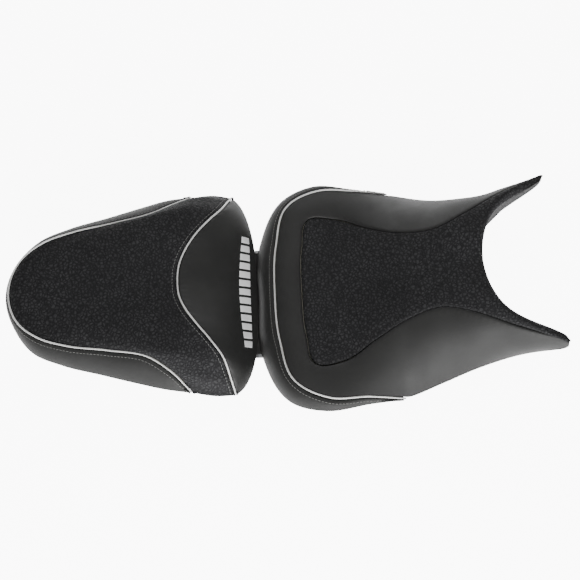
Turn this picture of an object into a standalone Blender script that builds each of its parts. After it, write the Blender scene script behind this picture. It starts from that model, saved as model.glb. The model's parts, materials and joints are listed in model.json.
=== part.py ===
"""Two-piece motorcycle seat: a rider seat with two tank horns and a stepped pillion seat behind it.

+X points to the front of the motorcycle, +Y to its left side and +Z up. Lengths are in metres.
The origin lies on the resting surface, under the middle of the two seats' common box.
"""
import math
from itertools import pairwise

import bmesh
import bpy
import numpy as np
from mathutils import Matrix, Vector
from mathutils.bvhtree import BVHTree

# ---------------------------------------------------------------- driving dimensions
MM = 0.001
RIDER_LENGTH = 0.360
RIDER_WIDTH = 0.312
RIDER_HEIGHT = 0.117
PILLION_LENGTH = 0.309
PILLION_WIDTH = 0.276
PILLION_HEIGHT = 0.092
SEAT_GAP = 0.001

SKIN = 0.0014
FOAM_INSET = 0.0042
PAN_WALL = 0.003
PAN_LIFT = 0.0010
SKIN_CUTTER_OUT = 0.006
ROOM_MARGIN = 0.001
PAN_MARGIN = 0.003
FOAM_GAP = 0.0030
SEAM_HALF_GAP = 0.0011
PIPING_RADIUS = 0.0013
PIPING_LIFT = 0.0008
PIPING_GAP = 0.0005
FIT_GAP = 0.0003

EMBLEM_LENGTH = 0.146
EMBLEM_DEPTH = 0.013
EMBLEM_WALL = 0.0006

BUMPER_RADIUS = 0.011
LUG_WIDTH = 0.026
LUG_WALL = 0.0025
LUG_REACH = 0.021
LUG_DROP = 0.0045
LUG_PAD_START = 0.010
LUG_SPREAD = 0.062
LUG_HOLE_RADIUS = 0.0075
GROMMET_LIP = 0.0016
COLLAR_WALL = 0.0012
BOLT_RADIUS = 0.003
BOLT_HEAD_RADIUS = 0.0065
BOLT_HEAD_HEIGHT = 0.0036
BOLT_LENGTH = 0.010

TONGUE_WIDTH = 0.044
TONGUE_WALL = 0.003
TONGUE_REACH = 0.030
HOOK_WIDTH = 0.018
HOOK_WALL = 0.003
HOOK_REACH = 0.024
HOOK_DROP = 0.011
HOOK_SPREAD = 0.034
STRIKER_WIRE = 0.0035
STRIKER_SPAN = 0.030
STRIKER_DROP = 0.016
STRIKER_PLATE = (0.030, 0.066, 0.0025)
SCREW_RADIUS = 0.0022
SCREW_HEAD_RADIUS = 0.0045
SCREW_HEAD_HEIGHT = 0.0022
RIVET_HEAD_RADIUS = 0.0048

ACROSS, SIDE, DOWN = 5, 14, 4
ALONG, AROUND = 6, 14
TURN_STEPS = 16

# ---------------------------------------------------------------- design curves
# Points of the left half in millimetres at the drawn sizes below: distance from the joint between
# the seats, distance from the middle plane, height. The overall sizes stretch them.
# One ring of stations runs from the middle of the rear round the corner (station 2) to the horn tip.
RIDER_DRAWN = (360, 156, 117)
RIDER_SEAM = [(55, 0, 41), (58, 62, 43), (68, 99, 45), (100, 98, 46), (140, 77, 59),
              (176, 60, 75), (220, 53, 96), (255, 66, 107), (298, 88, 113), (357, 113, 116)]
RIDER_PIPE = [(21, 0, 37), (25, 66, 39), (42, 121, 43), (80, 142, 42), (130, 142, 39), (176, 142, 26)]
RIDER_RIM = [(0, 0, 12), (3, 78, 12), (38, 142, 22), (76, 156, 31), (130, 149, 29), (176, 142, 26),
             (220, 128, 34), (262, 116, 49), (310, 105, 58), (359, 115, 101)]
RIDER_MIDDLE = [(55, 0, 41), (102, 0, 45), (146, 0, 58), (186, 0, 77), (230, 0, 97), (272, 0, 109)]
RIDER_NOTCH = [(272, 0, 109), (288, 58, 112), (355, 107, 115)]
RIDER_FLOOR = [(0, 0, 12), (76, 0, 15), (140, 0, 20), (186, 0, 32), (230, 0, 47), (266, 0, 56)]
RIDER_NOTCH_FOOT = [(266, 0, 56), (288, 66, 60), (356, 108, 101)]
RIDER_PAN_END, RIDER_FOAM_END = 343, 340
CORNER, KINK, NOSE, TIP = 2, 5, 7, 9

# Pillion curves run from the middle plane to the rim; distances grow towards the tail.
PILLION_DRAWN = (309, 138, 92)
PILLION_TAIL_PIPE = [(302, 0, 74), (289, 42, 74), (264, 63, 75), (228, 76, 76), (178, 85, 79),
                     (128, 97, 80), (106, 111, 73), (80, 134, 53)]
PILLION_FRONT_PIPE = [(96, 0, 84), (94, 20, 86), (86, 40, 89), (73, 60, 91), (57, 80, 88),
                      (42, 100, 78), (35, 118, 62), (29, 136, 44)]
PILLION_TAIL_RIM = [(309, 0, 58), (297, 43, 55), (273, 75, 53), (238, 92, 53), (188, 107, 53),
                    (148, 119, 54), (112, 129, 55), (80, 134, 53)]
PILLION_SIDE_RIM = [(80, 134, 53), (52, 138, 49), (29, 136, 44)]
PILLION_FRONT_RIM = [(0, 0, 27), (0, 28, 27), (1, 54, 28), (3, 76, 30), (7, 96, 33),
                     (12, 112, 37), (20, 127, 41), (29, 136, 44)]
PILLION_TUB_DEPTH = 22


# ---------------------------------------------------------------- helpers
def clear_scene():
    for obj in list(bpy.data.objects):
        bpy.data.objects.remove(obj, do_unlink=True)


def collection(name):
    made = bpy.data.collections.new(name)
    bpy.context.scene.collection.children.link(made)
    return made


def material(name, colour, roughness, metallic=0.0):
    made = bpy.data.materials.new(name)
    made.use_nodes = True
    shader = made.node_tree.nodes["Principled BSDF"]
    shader.inputs["Base Color"].default_value = (*colour, 1.0)
    shader.inputs["Roughness"].default_value = roughness
    shader.inputs["Metallic"].default_value = metallic
    made.diffuse_color = (*colour, 1.0)
    return made


def keep(obj, where, look):
    """Puts an object in its collection with its own copy of a material."""
    for old in list(obj.users_collection):
        old.objects.unlink(obj)
    where.objects.link(obj)
    if look:
        own = look.copy()
        own.name = obj.name
        obj.data.materials.clear()
        obj.data.materials.append(own)
    return obj


def rider_point(point):
    """Drawn millimetres to metres, forwards from the joint between the seats."""
    x, y, z = (value / drawn for value, drawn in zip(point, RIDER_DRAWN))
    return np.array([JOINT_X + x * RIDER_LENGTH, y * RIDER_WIDTH / 2, z * RIDER_HEIGHT])


def pillion_point(point):
    """Drawn millimetres to metres, backwards from the joint between the seats."""
    x, y, z = (value / drawn for value, drawn in zip(point, PILLION_DRAWN))
    return np.array([JOINT_X - SEAT_GAP - x * PILLION_LENGTH, y * PILLION_WIDTH / 2, z * PILLION_HEIGHT])


class Curve:
    """A smooth curve through its stations; whole numbers are the stations themselves."""

    def __init__(self, points, place, flat_ends=(False, False)):
        self.points = np.array([place(p) for p in points])
        steps = np.diff(self.points, axis=0)
        lengths = np.linalg.norm(steps, axis=1)
        ways = steps / lengths[:, None]
        inner = ways[:-1] * lengths[1:, None] + ways[1:] * lengths[:-1, None]
        ends = [ways[0], *inner, ways[-1]]
        # a curve that crosses the middle plane square to it goes straight across
        for index, flat in zip((0, -1), flat_ends):
            if flat:
                ends[index] = np.array([0.0, math.copysign(1.0, ends[index][1]), 0.0])
        self.ways = np.array([way / np.linalg.norm(way) for way in ends])
        self.lengths = lengths

    def __call__(self, at):
        k = min(int(at), len(self.lengths) - 1)
        t = at - k
        a, b = self.points[k], self.points[k + 1]
        leave, arrive = self.ways[k] * self.lengths[k], self.ways[k + 1] * self.lengths[k]
        return ((2 * t**3 - 3 * t**2 + 1) * a + (t**3 - 2 * t**2 + t) * leave
                + (3 * t**2 - 2 * t**3) * b + (t**3 - t**2) * arrive)

    def way(self, at, step=0.02):
        ahead, behind = min(at + step, len(self.lengths)), max(at - step, 0)
        run = self(ahead) - self(behind)
        return run / np.linalg.norm(run)


def unit(vector):
    return vector / max(np.linalg.norm(vector), 1e-9)


def smoothstep(value, low, high):
    t = min(max((value - low) / (high - low), 0.0), 1.0)
    return t * t * (3 - 2 * t)


def between(a, b, along, share, bulge):
    """A point of a strip between two edges, raised by a round bulge square to the strip."""
    chord = b - a
    out = unit(np.cross(along, chord))
    if out[2] * 2 + out[1] < 0:
        out = -out
    return a + chord * share + out * bulge * 4 * share * (1 - share)


def trimmed(share, length, at_start, at_end):
    """Maps 0..1 onto a strip of the given length, less a distance at each edge."""
    low, high = at_start / length, 1 - at_end / length
    return low + (high - low) * share


def grid_mesh(bm, rows):
    """Faces over rows of points."""
    made = [[bm.verts.new(point) for point in row] for row in rows]
    for near, far in pairwise(made):
        for (a, b), (d, c) in zip(pairwise(near), pairwise(far)):
            bm.faces.new((a, b, c, d))


def mesh_object(name, grids, outward):
    """An open mesh of the left half made from point grids, with its faces turned outward."""
    bm = bmesh.new()
    for rows in grids:
        grid_mesh(bm, rows)
    bmesh.ops.remove_doubles(bm, verts=bm.verts, dist=MM * 0.02)
    bmesh.ops.dissolve_degenerate(bm, dist=MM * 0.01, edges=bm.edges)
    bmesh.ops.recalc_face_normals(bm, faces=bm.faces)
    lean = sum(f.normal.dot(outward(f.calc_center_median())) * f.calc_area() for f in bm.faces)
    if lean < 0:
        bmesh.ops.reverse_faces(bm, faces=bm.faces)
    return object_from(bm, name)


def mirror(obj):
    made = obj.modifiers.new("both sides", "MIRROR")
    made.use_axis = (False, True, False)
    made.merge_threshold = 0.0001


def solidify(obj, thickness, offset=-1.0):
    made = obj.modifiers.new("thickness", "SOLIDIFY")
    made.thickness = thickness
    made.offset = offset
    made.use_even_offset = True


def panel(name, grids, look, outward):
    """A sewn cover panel: an open skin given its thickness inwards."""
    obj = mesh_object(name, grids, outward=outward)
    mirror(obj)
    solidify(obj, SKIN)
    return keep(obj, SEAT, look)


def samples(low, high, count):
    return [float(value) for value in np.linspace(low, high, count + 1)]


def tube(name, points, radius, look, sides=2):
    data = bpy.data.curves.new(name, "CURVE")
    data.dimensions = "3D"
    data.bevel_depth = radius
    data.bevel_resolution = sides
    data.use_fill_caps = True
    line = data.splines.new("POLY")
    line.points.add(len(points) - 1)
    for place, point in zip(line.points, points):
        place.co = (*point, 1.0)
    obj = bpy.data.objects.new(name, data)
    bpy.context.scene.collection.objects.link(obj)
    return keep(obj, SEAT, look)


def cylinder(name, radius, bottom, top, at, look=None, top_radius=None, sides=32):
    bm = bmesh.new()
    bmesh.ops.create_cone(bm, cap_ends=True, segments=sides, radius1=radius,
                          radius2=top_radius or radius, depth=top - bottom)
    mesh = bpy.data.meshes.new(name)
    bm.to_mesh(mesh)
    bm.free()
    mesh.shade_smooth()
    mesh.set_sharp_from_angle(angle=math.radians(35))
    obj = bpy.data.objects.new(name, mesh)
    obj.location = (at[0], at[1], (bottom + top) / 2)
    bpy.context.scene.collection.objects.link(obj)
    return keep(obj, SEAT if look else CUTTERS, look)


def box(name, low, high, look=None, bevel=0.0):
    bm = bmesh.new()
    bmesh.ops.create_cube(bm, size=1.0)
    bmesh.ops.scale(bm, vec=np.subtract(high, low), verts=bm.verts)
    mesh = bpy.data.meshes.new(name)
    bm.to_mesh(mesh)
    bm.free()
    obj = bpy.data.objects.new(name, mesh)
    obj.location = np.add(low, high) / 2
    bpy.context.scene.collection.objects.link(obj)
    if bevel:
        made = obj.modifiers.new("edges", "BEVEL")
        made.width = bevel
        made.segments = 2
        made.limit_method = "ANGLE"
    return keep(obj, SEAT if look else CUTTERS, look)


def turned(name, profile, at, look):
    """A ring turned about an upright line through at; the profile runs down its outer side."""
    mesh = bpy.data.meshes.new(name)
    count = len(profile)
    edges = [(i, (i + 1) % count) for i in range(count)]
    mesh.from_pydata([(radius, 0, height) for radius, height in profile], edges, [])
    obj = bpy.data.objects.new(name, mesh)
    obj.location = (at[0], at[1], 0)
    bpy.context.scene.collection.objects.link(obj)
    made = obj.modifiers.new("turn", "SCREW")
    made.steps = made.render_steps = TURN_STEPS + 4
    made.use_merge_vertices = True
    made.merge_threshold = 0.00002
    return keep(obj, SEAT, look)


def bent_plate(name, outline, width, middle, look):
    """A bent strip: its side outline in the X-Z plane, extruded across by its width."""
    data = bpy.data.curves.new(name, "CURVE")
    data.dimensions = "2D"
    data.fill_mode = "BOTH"
    data.extrude = width / 2
    line = data.splines.new("POLY")
    line.points.add(len(outline) - 1)
    for place, (x, z) in zip(line.points, outline):
        place.co = (x, z, 0, 1)
    line.use_cyclic_u = True
    flat = bpy.data.objects.new(name, data)
    flat.location = (0, middle, 0)
    flat.rotation_euler = (math.pi / 2, 0, 0)
    bpy.context.scene.collection.objects.link(flat)
    bpy.context.view_layer.update()
    mesh = bpy.data.meshes.new_from_object(flat.evaluated_get(bpy.context.evaluated_depsgraph_get()))
    bm = bmesh.new()
    bm.from_mesh(mesh)
    bmesh.ops.remove_doubles(bm, verts=bm.verts, dist=MM * 0.02)
    bm.to_mesh(mesh)
    bm.free()
    obj = bpy.data.objects.new(name, mesh)
    obj.matrix_world = flat.matrix_world
    bpy.data.objects.remove(flat, do_unlink=True)
    bpy.context.scene.collection.objects.link(obj)
    obj.name = name
    return keep(obj, SEAT, look)


def cut(obj, cutter):
    made = obj.modifiers.new("cut", "BOOLEAN")
    made.object = cutter
    cutter.hide_render = True
    cutter.display_type = "WIRE"
    return made


def body_mesh(skins, floor):
    """The closed outer form: cover surfaces and floor of the left half, doubled to the right."""
    bm = bmesh.new()
    is_floor = bm.faces.layers.int.new("floor")
    for rows in skins:
        grid_mesh(bm, rows)
    skin_faces = len(bm.faces)
    grid_mesh(bm, floor)
    bm.faces.ensure_lookup_table()
    for face in bm.faces[skin_faces:]:
        face[is_floor] = 1
    other = bmesh.ops.duplicate(bm, geom=bm.verts[:] + bm.edges[:] + bm.faces[:])["geom"]
    for vert in [v for v in other if isinstance(v, bmesh.types.BMVert)]:
        vert.co.y = -vert.co.y
    bmesh.ops.remove_doubles(bm, verts=bm.verts, dist=MM * 0.05)
    bmesh.ops.dissolve_degenerate(bm, dist=MM * 0.02, edges=bm.edges)
    bmesh.ops.recalc_face_normals(bm, faces=bm.faces)
    if bm.calc_volume(signed=True) < 0:
        bmesh.ops.reverse_faces(bm, faces=bm.faces)
    # layers cut from the same triangles stay parallel
    bmesh.ops.triangulate(bm, faces=bm.faces[:])
    return bm


def object_from(bm, name):
    mesh = bpy.data.meshes.new(name)
    bm.to_mesh(mesh)
    bm.free()
    mesh.shade_smooth()
    obj = bpy.data.objects.new(name, mesh)
    bpy.context.scene.collection.objects.link(obj)
    return obj


def faces_of(form, floor):
    """A copy of the outer form that keeps only its floor, or only its cover surfaces."""
    bm = form.copy()
    is_floor = bm.faces.layers.int["floor"]
    rest = [face for face in bm.faces if bool(face[is_floor]) != floor]
    bmesh.ops.delete(bm, geom=rest, context="FACES")
    return bm


def floor_at(form, lift, spread):
    """The floor surface lifted, and spread out a little from its middle."""
    bm = faces_of(form, True)
    middle = sum((vert.co for vert in bm.verts), Vector()) / len(bm.verts)
    bmesh.ops.scale(bm, vec=(spread, spread, 1), verts=bm.verts, space=Matrix.Translation(-middle))
    bmesh.ops.translate(bm, vec=(0, 0, lift), verts=bm.verts)
    return bm


def slab(form, low, high, spread):
    """A layer along the floor, between two heights above it."""
    bm = floor_at(form, low, spread)
    raised = bmesh.ops.extrude_face_region(bm, geom=bm.faces[:])["geom"]
    bmesh.ops.translate(bm, vec=(0, 0, high - low),
                        verts=[v for v in raised if isinstance(v, bmesh.types.BMVert)])
    bmesh.ops.recalc_face_normals(bm, faces=bm.faces)
    return bm


def closed_alone(body):
    edges = {edge for face in body for edge in face.edges}
    return all(sum(face in body for face in edge.link_faces) == 2 for edge in edges)


def keep_largest(obj):
    """Applies an object's cuts and drops the slivers that they leave along a sharp rim."""
    bpy.context.view_layer.update()
    shape = obj.evaluated_get(bpy.context.evaluated_depsgraph_get())
    mesh = bpy.data.meshes.new_from_object(shape)
    bm = bmesh.new()
    bm.from_mesh(mesh)
    left, bodies = set(bm.faces), []
    while left:
        body, front = set(), {left.pop()}
        while front:
            body |= front
            sides = {e for face in front for e in face.edges if len(e.link_faces) == 2}
            front = {f for e in sides for f in e.link_faces} - body
        left -= body
        bodies.append(body)
    bodies.sort(key=len)
    slivers = [body for body in bodies[:-1] if closed_alone(body)]
    bmesh.ops.delete(bm, geom=[face for body in slivers for face in body], context="FACES")
    bm.to_mesh(mesh)
    bm.free()
    obj.modifiers.clear()
    obj.data = mesh


class Base:
    """What fills a seat's cover: the moulded pan, the foam on it, and a cutter for parts under it."""

    def __init__(self, form, name, plastic, foam, pan_end, foam_end):
        skin = keep(object_from(faces_of(form, False), name + "_skin_cutter"), CUTTERS, None)
        solidify(skin, FOAM_INSET + SKIN_CUTTER_OUT,
                 2 * SKIN_CUTTER_OUT / (FOAM_INSET + SKIN_CUTTER_OUT) - 1)
        skin.modifiers["thickness"].use_even_offset = False
        shell = slab(form, PAN_LIFT, PAN_LIFT + PAN_WALL, 1 - PAN_MARGIN)
        self.pan = keep(object_from(shell, name + "_base_pan"), SEAT, plastic)
        cut(self.pan, box(name + "_pan_end_cutter", (pan_end, -0.5, -0.1), (pan_end + 0.1, 0.5, 0.4)))
        cut(self.pan, skin).use_self = True
        padding = keep(object_from(form.copy(), name + "_foam"), SEAT, foam)
        room = slab(form, -0.02, PAN_LIFT + PAN_WALL + FOAM_GAP, 1 + ROOM_MARGIN)
        cut(padding, keep(object_from(room, name + "_pan_room_cutter"), CUTTERS, None))
        cut(padding, box(name + "_foam_end_cutter", (foam_end, -0.5, -0.1), (foam_end + 0.1, 0.5, 0.4)))
        cut(padding, skin).use_self = True
        keep_largest(self.pan)
        keep_largest(padding)
        under = floor_at(form, PAN_LIFT - FIT_GAP, 1 - PAN_MARGIN)
        self.tree = BVHTree.FromBMesh(under)
        under.free()
        fit = slab(form, PAN_LIFT - FIT_GAP, 0.12, 1 - PAN_MARGIN)
        self.cutter = keep(object_from(fit, name + "_fit_cutter"), CUTTERS, None)

    def height(self, x, y):
        """Height of the face that parts under the pan are cut to."""
        return self.tree.ray_cast((x, y, -1.0), (0, 0, 1.0))[0].z

    def drill(self, radius, x, y, *others):
        """A hole through the pan, and through the pieces under it."""
        z = self.height(x, y)
        hole = cylinder("hole_cutter", radius, z - 0.02, z + PAN_WALL + 0.004, (x, y), sides=16)
        for obj in (self.pan, *others):
            cut(obj, hole)


def bumper(name, base, x, y):
    """A rubber foot from the resting surface to the pan."""
    top = base.height(x, y) + 0.012
    foot = cylinder(name, BUMPER_RADIUS * 0.9, 0.0, top, (x, y), RUBBER, BUMPER_RADIUS, sides=24)
    cut(foot, base.cutter)


def fastener(name, base, x, y, plate, plate_bottom, head_radius):
    """A screw or rivet up through a plate into the pan, with a domed head below."""
    top = base.height(x, y) + PAN_WALL * 0.8
    head_top = plate_bottom - FIT_GAP
    shank = SCREW_RADIUS
    mid = head_top - SCREW_HEAD_HEIGHT * 0.55
    profile = [(0, top), (shank, top), (shank, head_top), (head_radius, head_top),
               (head_radius, mid), (head_radius * 0.6, head_top - SCREW_HEAD_HEIGHT),
               (0, head_top - SCREW_HEAD_HEIGHT)]
    turned_solid(name, profile, (x, y), STEEL)
    base.drill(SCREW_RADIUS + FIT_GAP, x, y, plate)


def turned_solid(name, profile, at, look):
    """A solid turned about an upright line; the profile runs from the axis down its outer side."""
    mesh = bpy.data.meshes.new(name)
    mesh.from_pydata([(radius, 0, height) for radius, height in profile],
                     list(pairwise(range(len(profile)))), [])
    obj = bpy.data.objects.new(name, mesh)
    obj.location = (at[0], at[1], 0)
    bpy.context.scene.collection.objects.link(obj)
    made = obj.modifiers.new("turn", "SCREW")
    made.steps = made.render_steps = TURN_STEPS
    made.use_merge_vertices = True
    made.merge_threshold = 0.00002
    return keep(obj, SEAT, look)


# ---------------------------------------------------------------- rider seat
def rider_inner(q):
    return RIDER["middle"](q - CORNER) if q < NOSE else RIDER["notch"](q - NOSE)


def rider_foot(q):
    return RIDER["floor"](q - CORNER) if q < NOSE else RIDER["foot"](q - NOSE)


def rider_outer(q):
    return RIDER["pipe"](q) if q < KINK else RIDER["rim"](q)


def rider_insert(q, s):
    """The grip-cloth centre: from the middle plane, or the notch edge, out to the seam."""
    a, b = rider_inner(q), RIDER["seam"](q)
    flat = a + (b - a) * s
    rear = RIDER["seam"](CORNER * s)
    rear_flat = rider_inner(CORNER) + (RIDER["seam"](CORNER) - rider_inner(CORNER)) * s
    near_rear = max(1 - (q - CORNER) / 2, 0) ** 2
    horn = smoothstep(q, NOSE - 1, NOSE + 0.5) * (1 - smoothstep(q, TIP - 0.7, TIP))
    crown = (1 - horn) * 6.75 * s * s * (1 - s) * 1.5 * MM * (q < TIP - 1) + horn * 4 * s * (1 - s) * 5 * MM
    crown *= smoothstep(q, CORNER, CORNER + 1)
    return flat + (rear - rear_flat) * near_rear + np.array([0, 0, crown])


def rider_flank(q, s):
    """The smooth cover: from the seam to the piping at the rear, and to the rim in front."""
    along = RIDER["seam"].way(q) + RIDER["rim"].way(q)
    height = (2.5 + 7 * smoothstep(q, 3.5, 6.5)) * (1 - smoothstep(q, TIP - 1, TIP)) * MM
    return between(RIDER["seam"](q), rider_outer(q), along, s, height)


def rider_band(q, s):
    """The low wall behind and beside the piping."""
    a, b = RIDER["pipe"](q), RIDER["rim"](q)
    along = RIDER["rim"].way(q)
    return between(a, b, along, s, 0.16 * np.linalg.norm(b - a))


def rider_wall(q, s):
    """The wall that faces the tank, from the notch edge down."""
    a, b = RIDER["notch"](q - NOSE), RIDER["foot"](q - NOSE)
    return a + (b - a) * s


def rider_floor(q, s):
    """The underside: a tub between the frame rails with a raised edge."""
    def row(at):
        a, b = rider_foot(at), RIDER["rim"](at)
        step = s if at >= NOSE else s + (smoothstep(s, 0.5, 0.9) - s) * smoothstep(NOSE - at, 0, 0.6)
        flat = a + (b - a) * s
        flat[2] = a[2] + (b[2] - a[2]) * step
        return flat
    near_rear = max(1 - (q - CORNER), 0) ** 2
    return row(q) + (RIDER["rim"](CORNER * s) - row(CORNER)) * near_rear


def rider_tip(s, j):
    a, b = rider_wall(TIP, s), rider_flank(TIP, s)
    return a + (b - a) * j


def rider_form():
    across, down = samples(0, 1, ACROSS), samples(0, 1, DOWN)
    side = samples(CORNER, TIP, SIDE)
    ring = [CORNER * s for s in across] + side[1:]
    horn = [q for q in side if q >= NOSE - 1e-6]
    skins = [[[rider_insert(q, s) for s in across] for q in side],
             [[rider_flank(q, s) for s in down] for q in ring],
             [[rider_band(q, s) for s in down] for q in ring if q <= KINK + 1e-6],
             [[rider_wall(q, s) for s in down] for q in horn],
             [[rider_tip(s, j) for j in across] for s in down]]
    return body_mesh(skins, [[rider_floor(q, s) for s in across] for q in side])


def rider_covers():
    across, down = samples(0, 1, ACROSS), samples(0, 1, DOWN)
    piping_trim = PIPING_RADIUS + PIPING_GAP

    def insert_row(q):
        width = np.linalg.norm(RIDER["seam"](q) - rider_inner(q))
        return [rider_insert(q, trimmed(s, width, 0, SEAM_HALF_GAP)) for s in across]

    rear_trim = SEAM_HALF_GAP / RIDER["seam"].lengths[CORNER]
    side = [CORNER + rear_trim, *samples(CORNER, TIP, SIDE)[1:-1], TIP - 0.04]
    horn = [q for q in side if q >= NOSE - 1e-6]
    wall_rows = [[rider_wall(q, s * 0.97) for s in down] for q in horn]
    panel("rider_insert_panel", [[insert_row(q) for q in side], wall_rows], GRIP_CLOTH,
          lambda at: Vector((0.3, 0, 1)))

    def flank_row(q):
        a, b = RIDER["seam"](q), rider_outer(q)
        end = piping_trim * (1 - smoothstep(q, KINK, KINK + 0.4))
        return [rider_flank(q, trimmed(s, np.linalg.norm(b - a), SEAM_HALF_GAP, end)) for s in down]

    ring = [CORNER * s for s in across] + samples(CORNER, TIP, SIDE)[1:-1] + [TIP - 0.04]
    panel("rider_side_cover", [[flank_row(q) for q in ring]], VINYL, outward_of_rider)

    def band_row(q):
        a, b = RIDER["pipe"](q), RIDER["rim"](q)
        return [rider_band(q, trimmed(s, np.linalg.norm(b - a), piping_trim, 0)) for s in down]

    panel("rider_rear_band", [[band_row(q) for q in samples(0, KINK - 0.55, 12)]], VINYL,
          outward_of_rider)
    half = [pipe_line(RIDER["pipe"], rider_flank, q) for q in samples(0, KINK - 0.12, 24)]
    tube("rider_piping", both_sides(half), PIPING_RADIUS, PIPING)


def outward_of_rider(at):
    heart = Vector((JOINT_X + RIDER_LENGTH * 0.35, 0, -RIDER_HEIGHT * 0.5))
    return (Vector(at) - heart).normalized()


def pipe_line(curve, surface, q):
    """The piping's middle: the seam between two panels, lifted off the surface."""
    out = np.cross(curve.way(q), surface(q, 1.0) - surface(q, 0.9))
    out = unit(out if out[2] > 0 else -out)
    return curve(q) + out * PIPING_LIFT


def both_sides(half):
    """A line across the middle plane from its left half."""
    left = [np.array(point) for point in half]
    left[0][1] = 0.0
    return [point * np.array([1, -1, 1]) for point in reversed(left[1:])] + left


def rider_fittings(base):
    for label, x, y in (("rear", 44, 84), ("front", 205, 74)):
        for side, sign in (("left", 1), ("right", -1)):
            at = rider_point((x, y, 0))
            bumper(f"rider_{label}_bumper_{side}", base, at[0], sign * at[1])
    for side, sign in (("left", 1), ("right", -1)):
        rear_lug(side, base, sign * LUG_SPREAD)
    front_tongue(base)


def rear_lug(side, base, y):
    """A steel tab that reaches back under the pillion seat, with its grommet, collar and bolt."""
    inner = JOINT_X + 0.034
    hole_x = JOINT_X - LUG_REACH
    bottom = RIDER["rim"](0)[2] - LUG_DROP
    lug = box(f"rider_rear_lug_{side}", (hole_x - LUG_WIDTH / 2, y - LUG_WIDTH / 2, bottom),
              (inner, y + LUG_WIDTH / 2, bottom + LUG_WALL + 0.004), STEEL)
    flat = box("lug_top_cutter", (hole_x - 0.05, y - 0.03, bottom + LUG_WALL),
               (JOINT_X + LUG_PAD_START, y + 0.03, bottom + 0.05))
    cut(lug, flat)
    cut(lug, base.cutter)
    hole = cylinder("lug_hole_cutter", LUG_HOLE_RADIUS, bottom - 0.01, bottom + 0.02, (hole_x, y))
    cut(lug, hole)
    for index, x in enumerate((inner - 0.007, inner - 0.020), 1):
        fastener(f"rider_lug_rivet_{side}_{index}", base, x, y, lug, bottom, RIVET_HEAD_RADIUS)
    waist = LUG_HOLE_RADIUS - FIT_GAP
    lip = LUG_HOLE_RADIUS + 0.0022
    bore = BOLT_RADIUS + COLLAR_WALL + 2 * FIT_GAP
    top, low = bottom + LUG_WALL + FIT_GAP, bottom - FIT_GAP
    turned(f"rider_lug_grommet_{side}",
           [(bore, top + GROMMET_LIP), (lip, top + GROMMET_LIP), (lip, top), (waist, top),
            (waist, low), (lip, low), (lip, low - GROMMET_LIP), (bore, low - GROMMET_LIP)],
           (hole_x, y), RUBBER)
    collar_in, collar_out = BOLT_RADIUS + FIT_GAP, BOLT_RADIUS + FIT_GAP + COLLAR_WALL
    head_bottom = top + GROMMET_LIP + FIT_GAP
    turned(f"rider_lug_collar_{side}",
           [(collar_in, head_bottom - FIT_GAP), (collar_out - 0.0003, head_bottom - FIT_GAP),
            (collar_out - 0.0003, low - GROMMET_LIP), (collar_in, low - GROMMET_LIP)],
           (hole_x, y), STEEL)
    head_top = head_bottom + BOLT_HEAD_HEIGHT
    turned_solid(f"rider_lug_bolt_{side}",
                 [(0, head_top), (BOLT_HEAD_RADIUS * 0.6, head_top),
                  (BOLT_HEAD_RADIUS, head_bottom + BOLT_HEAD_HEIGHT * 0.4),
                  (BOLT_HEAD_RADIUS, head_bottom), (BOLT_RADIUS, head_bottom),
                  (BOLT_RADIUS, head_bottom - BOLT_LENGTH), (0, head_bottom - BOLT_LENGTH)],
                 (hole_x, y), STEEL)


def front_tongue(base):
    """A tongue under the nose that slides below the tank bracket."""
    start, end = rider_point((206, 0, 0))[0], rider_point((232, 0, 0))[0]
    floor = base.height(start, 0)
    bottom = floor - TONGUE_WALL - 0.002
    top = base.height(end, 0) + 0.004
    tongue = bent_plate("rider_front_tongue",
                        [(start, bottom), (end + TONGUE_REACH, bottom),
                         (end + TONGUE_REACH + 0.003, bottom + TONGUE_WALL),
                         (end + 0.001, bottom + TONGUE_WALL), (end, bottom + TONGUE_WALL + 0.002),
                         (end, top), (start, top)], TONGUE_WIDTH, 0, PLASTIC)
    cut(tongue, base.cutter)
    for side, sign in (("left", 1), ("right", -1)):
        fastener(f"rider_tongue_screw_{side}", base, (start + end) / 2, sign * TONGUE_WIDTH * 0.3,
                 tongue, bottom, SCREW_HEAD_RADIUS)


# ---------------------------------------------------------------- pillion seat
def pillion_centre(u, v):
    """The grip-cloth top, from the tail piping (u = 0) to the front piping (u = 1)."""
    a, b = PILLION["tail_pipe"](v), PILLION["front_pipe"](v)
    along = PILLION["tail_pipe"].way(v) + PILLION["front_pipe"].way(v)
    rim_flat = PILLION["tail_pipe"](LAST) + (PILLION["front_pipe"](LAST) - PILLION["tail_pipe"](LAST)) * u
    near_rim = max((v - LAST + 2) / 2, 0) ** 2
    height = (5 + 3 * smoothstep(v, 3, 5)) * (1 - smoothstep(v, LAST - 1, LAST)) * MM
    if v == 0:
        along = np.array([0.0, 1.0, 0.0])
    return between(a, b, along, u, height) + (PILLION["side_rim"](2 * u) - rim_flat) * near_rim


def pillion_band(v, s):
    """The smooth wall round the tail."""
    a, b = PILLION["tail_pipe"](v), PILLION["tail_rim"](v)
    return between(a, b, PILLION["tail_rim"].way(v), s, 0.12 * np.linalg.norm(b - a))


def pillion_front(v, s):
    """The smooth slope down to the rider seat."""
    a, b = PILLION["front_pipe"](v), PILLION["front_rim"](v)
    return between(a, b, PILLION["front_rim"].way(v), s, 0.10 * np.linalg.norm(b - a))


def pillion_ring():
    """Rim points from the tail round the left side to the front."""
    around = samples(0, LAST, AROUND)
    return ([PILLION["tail_rim"](v) for v in around]
            + [PILLION["side_rim"](2 * u) for u in samples(0, 1, ALONG)][1:]
            + [PILLION["front_rim"](v) for v in reversed(around)][1:])


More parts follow.
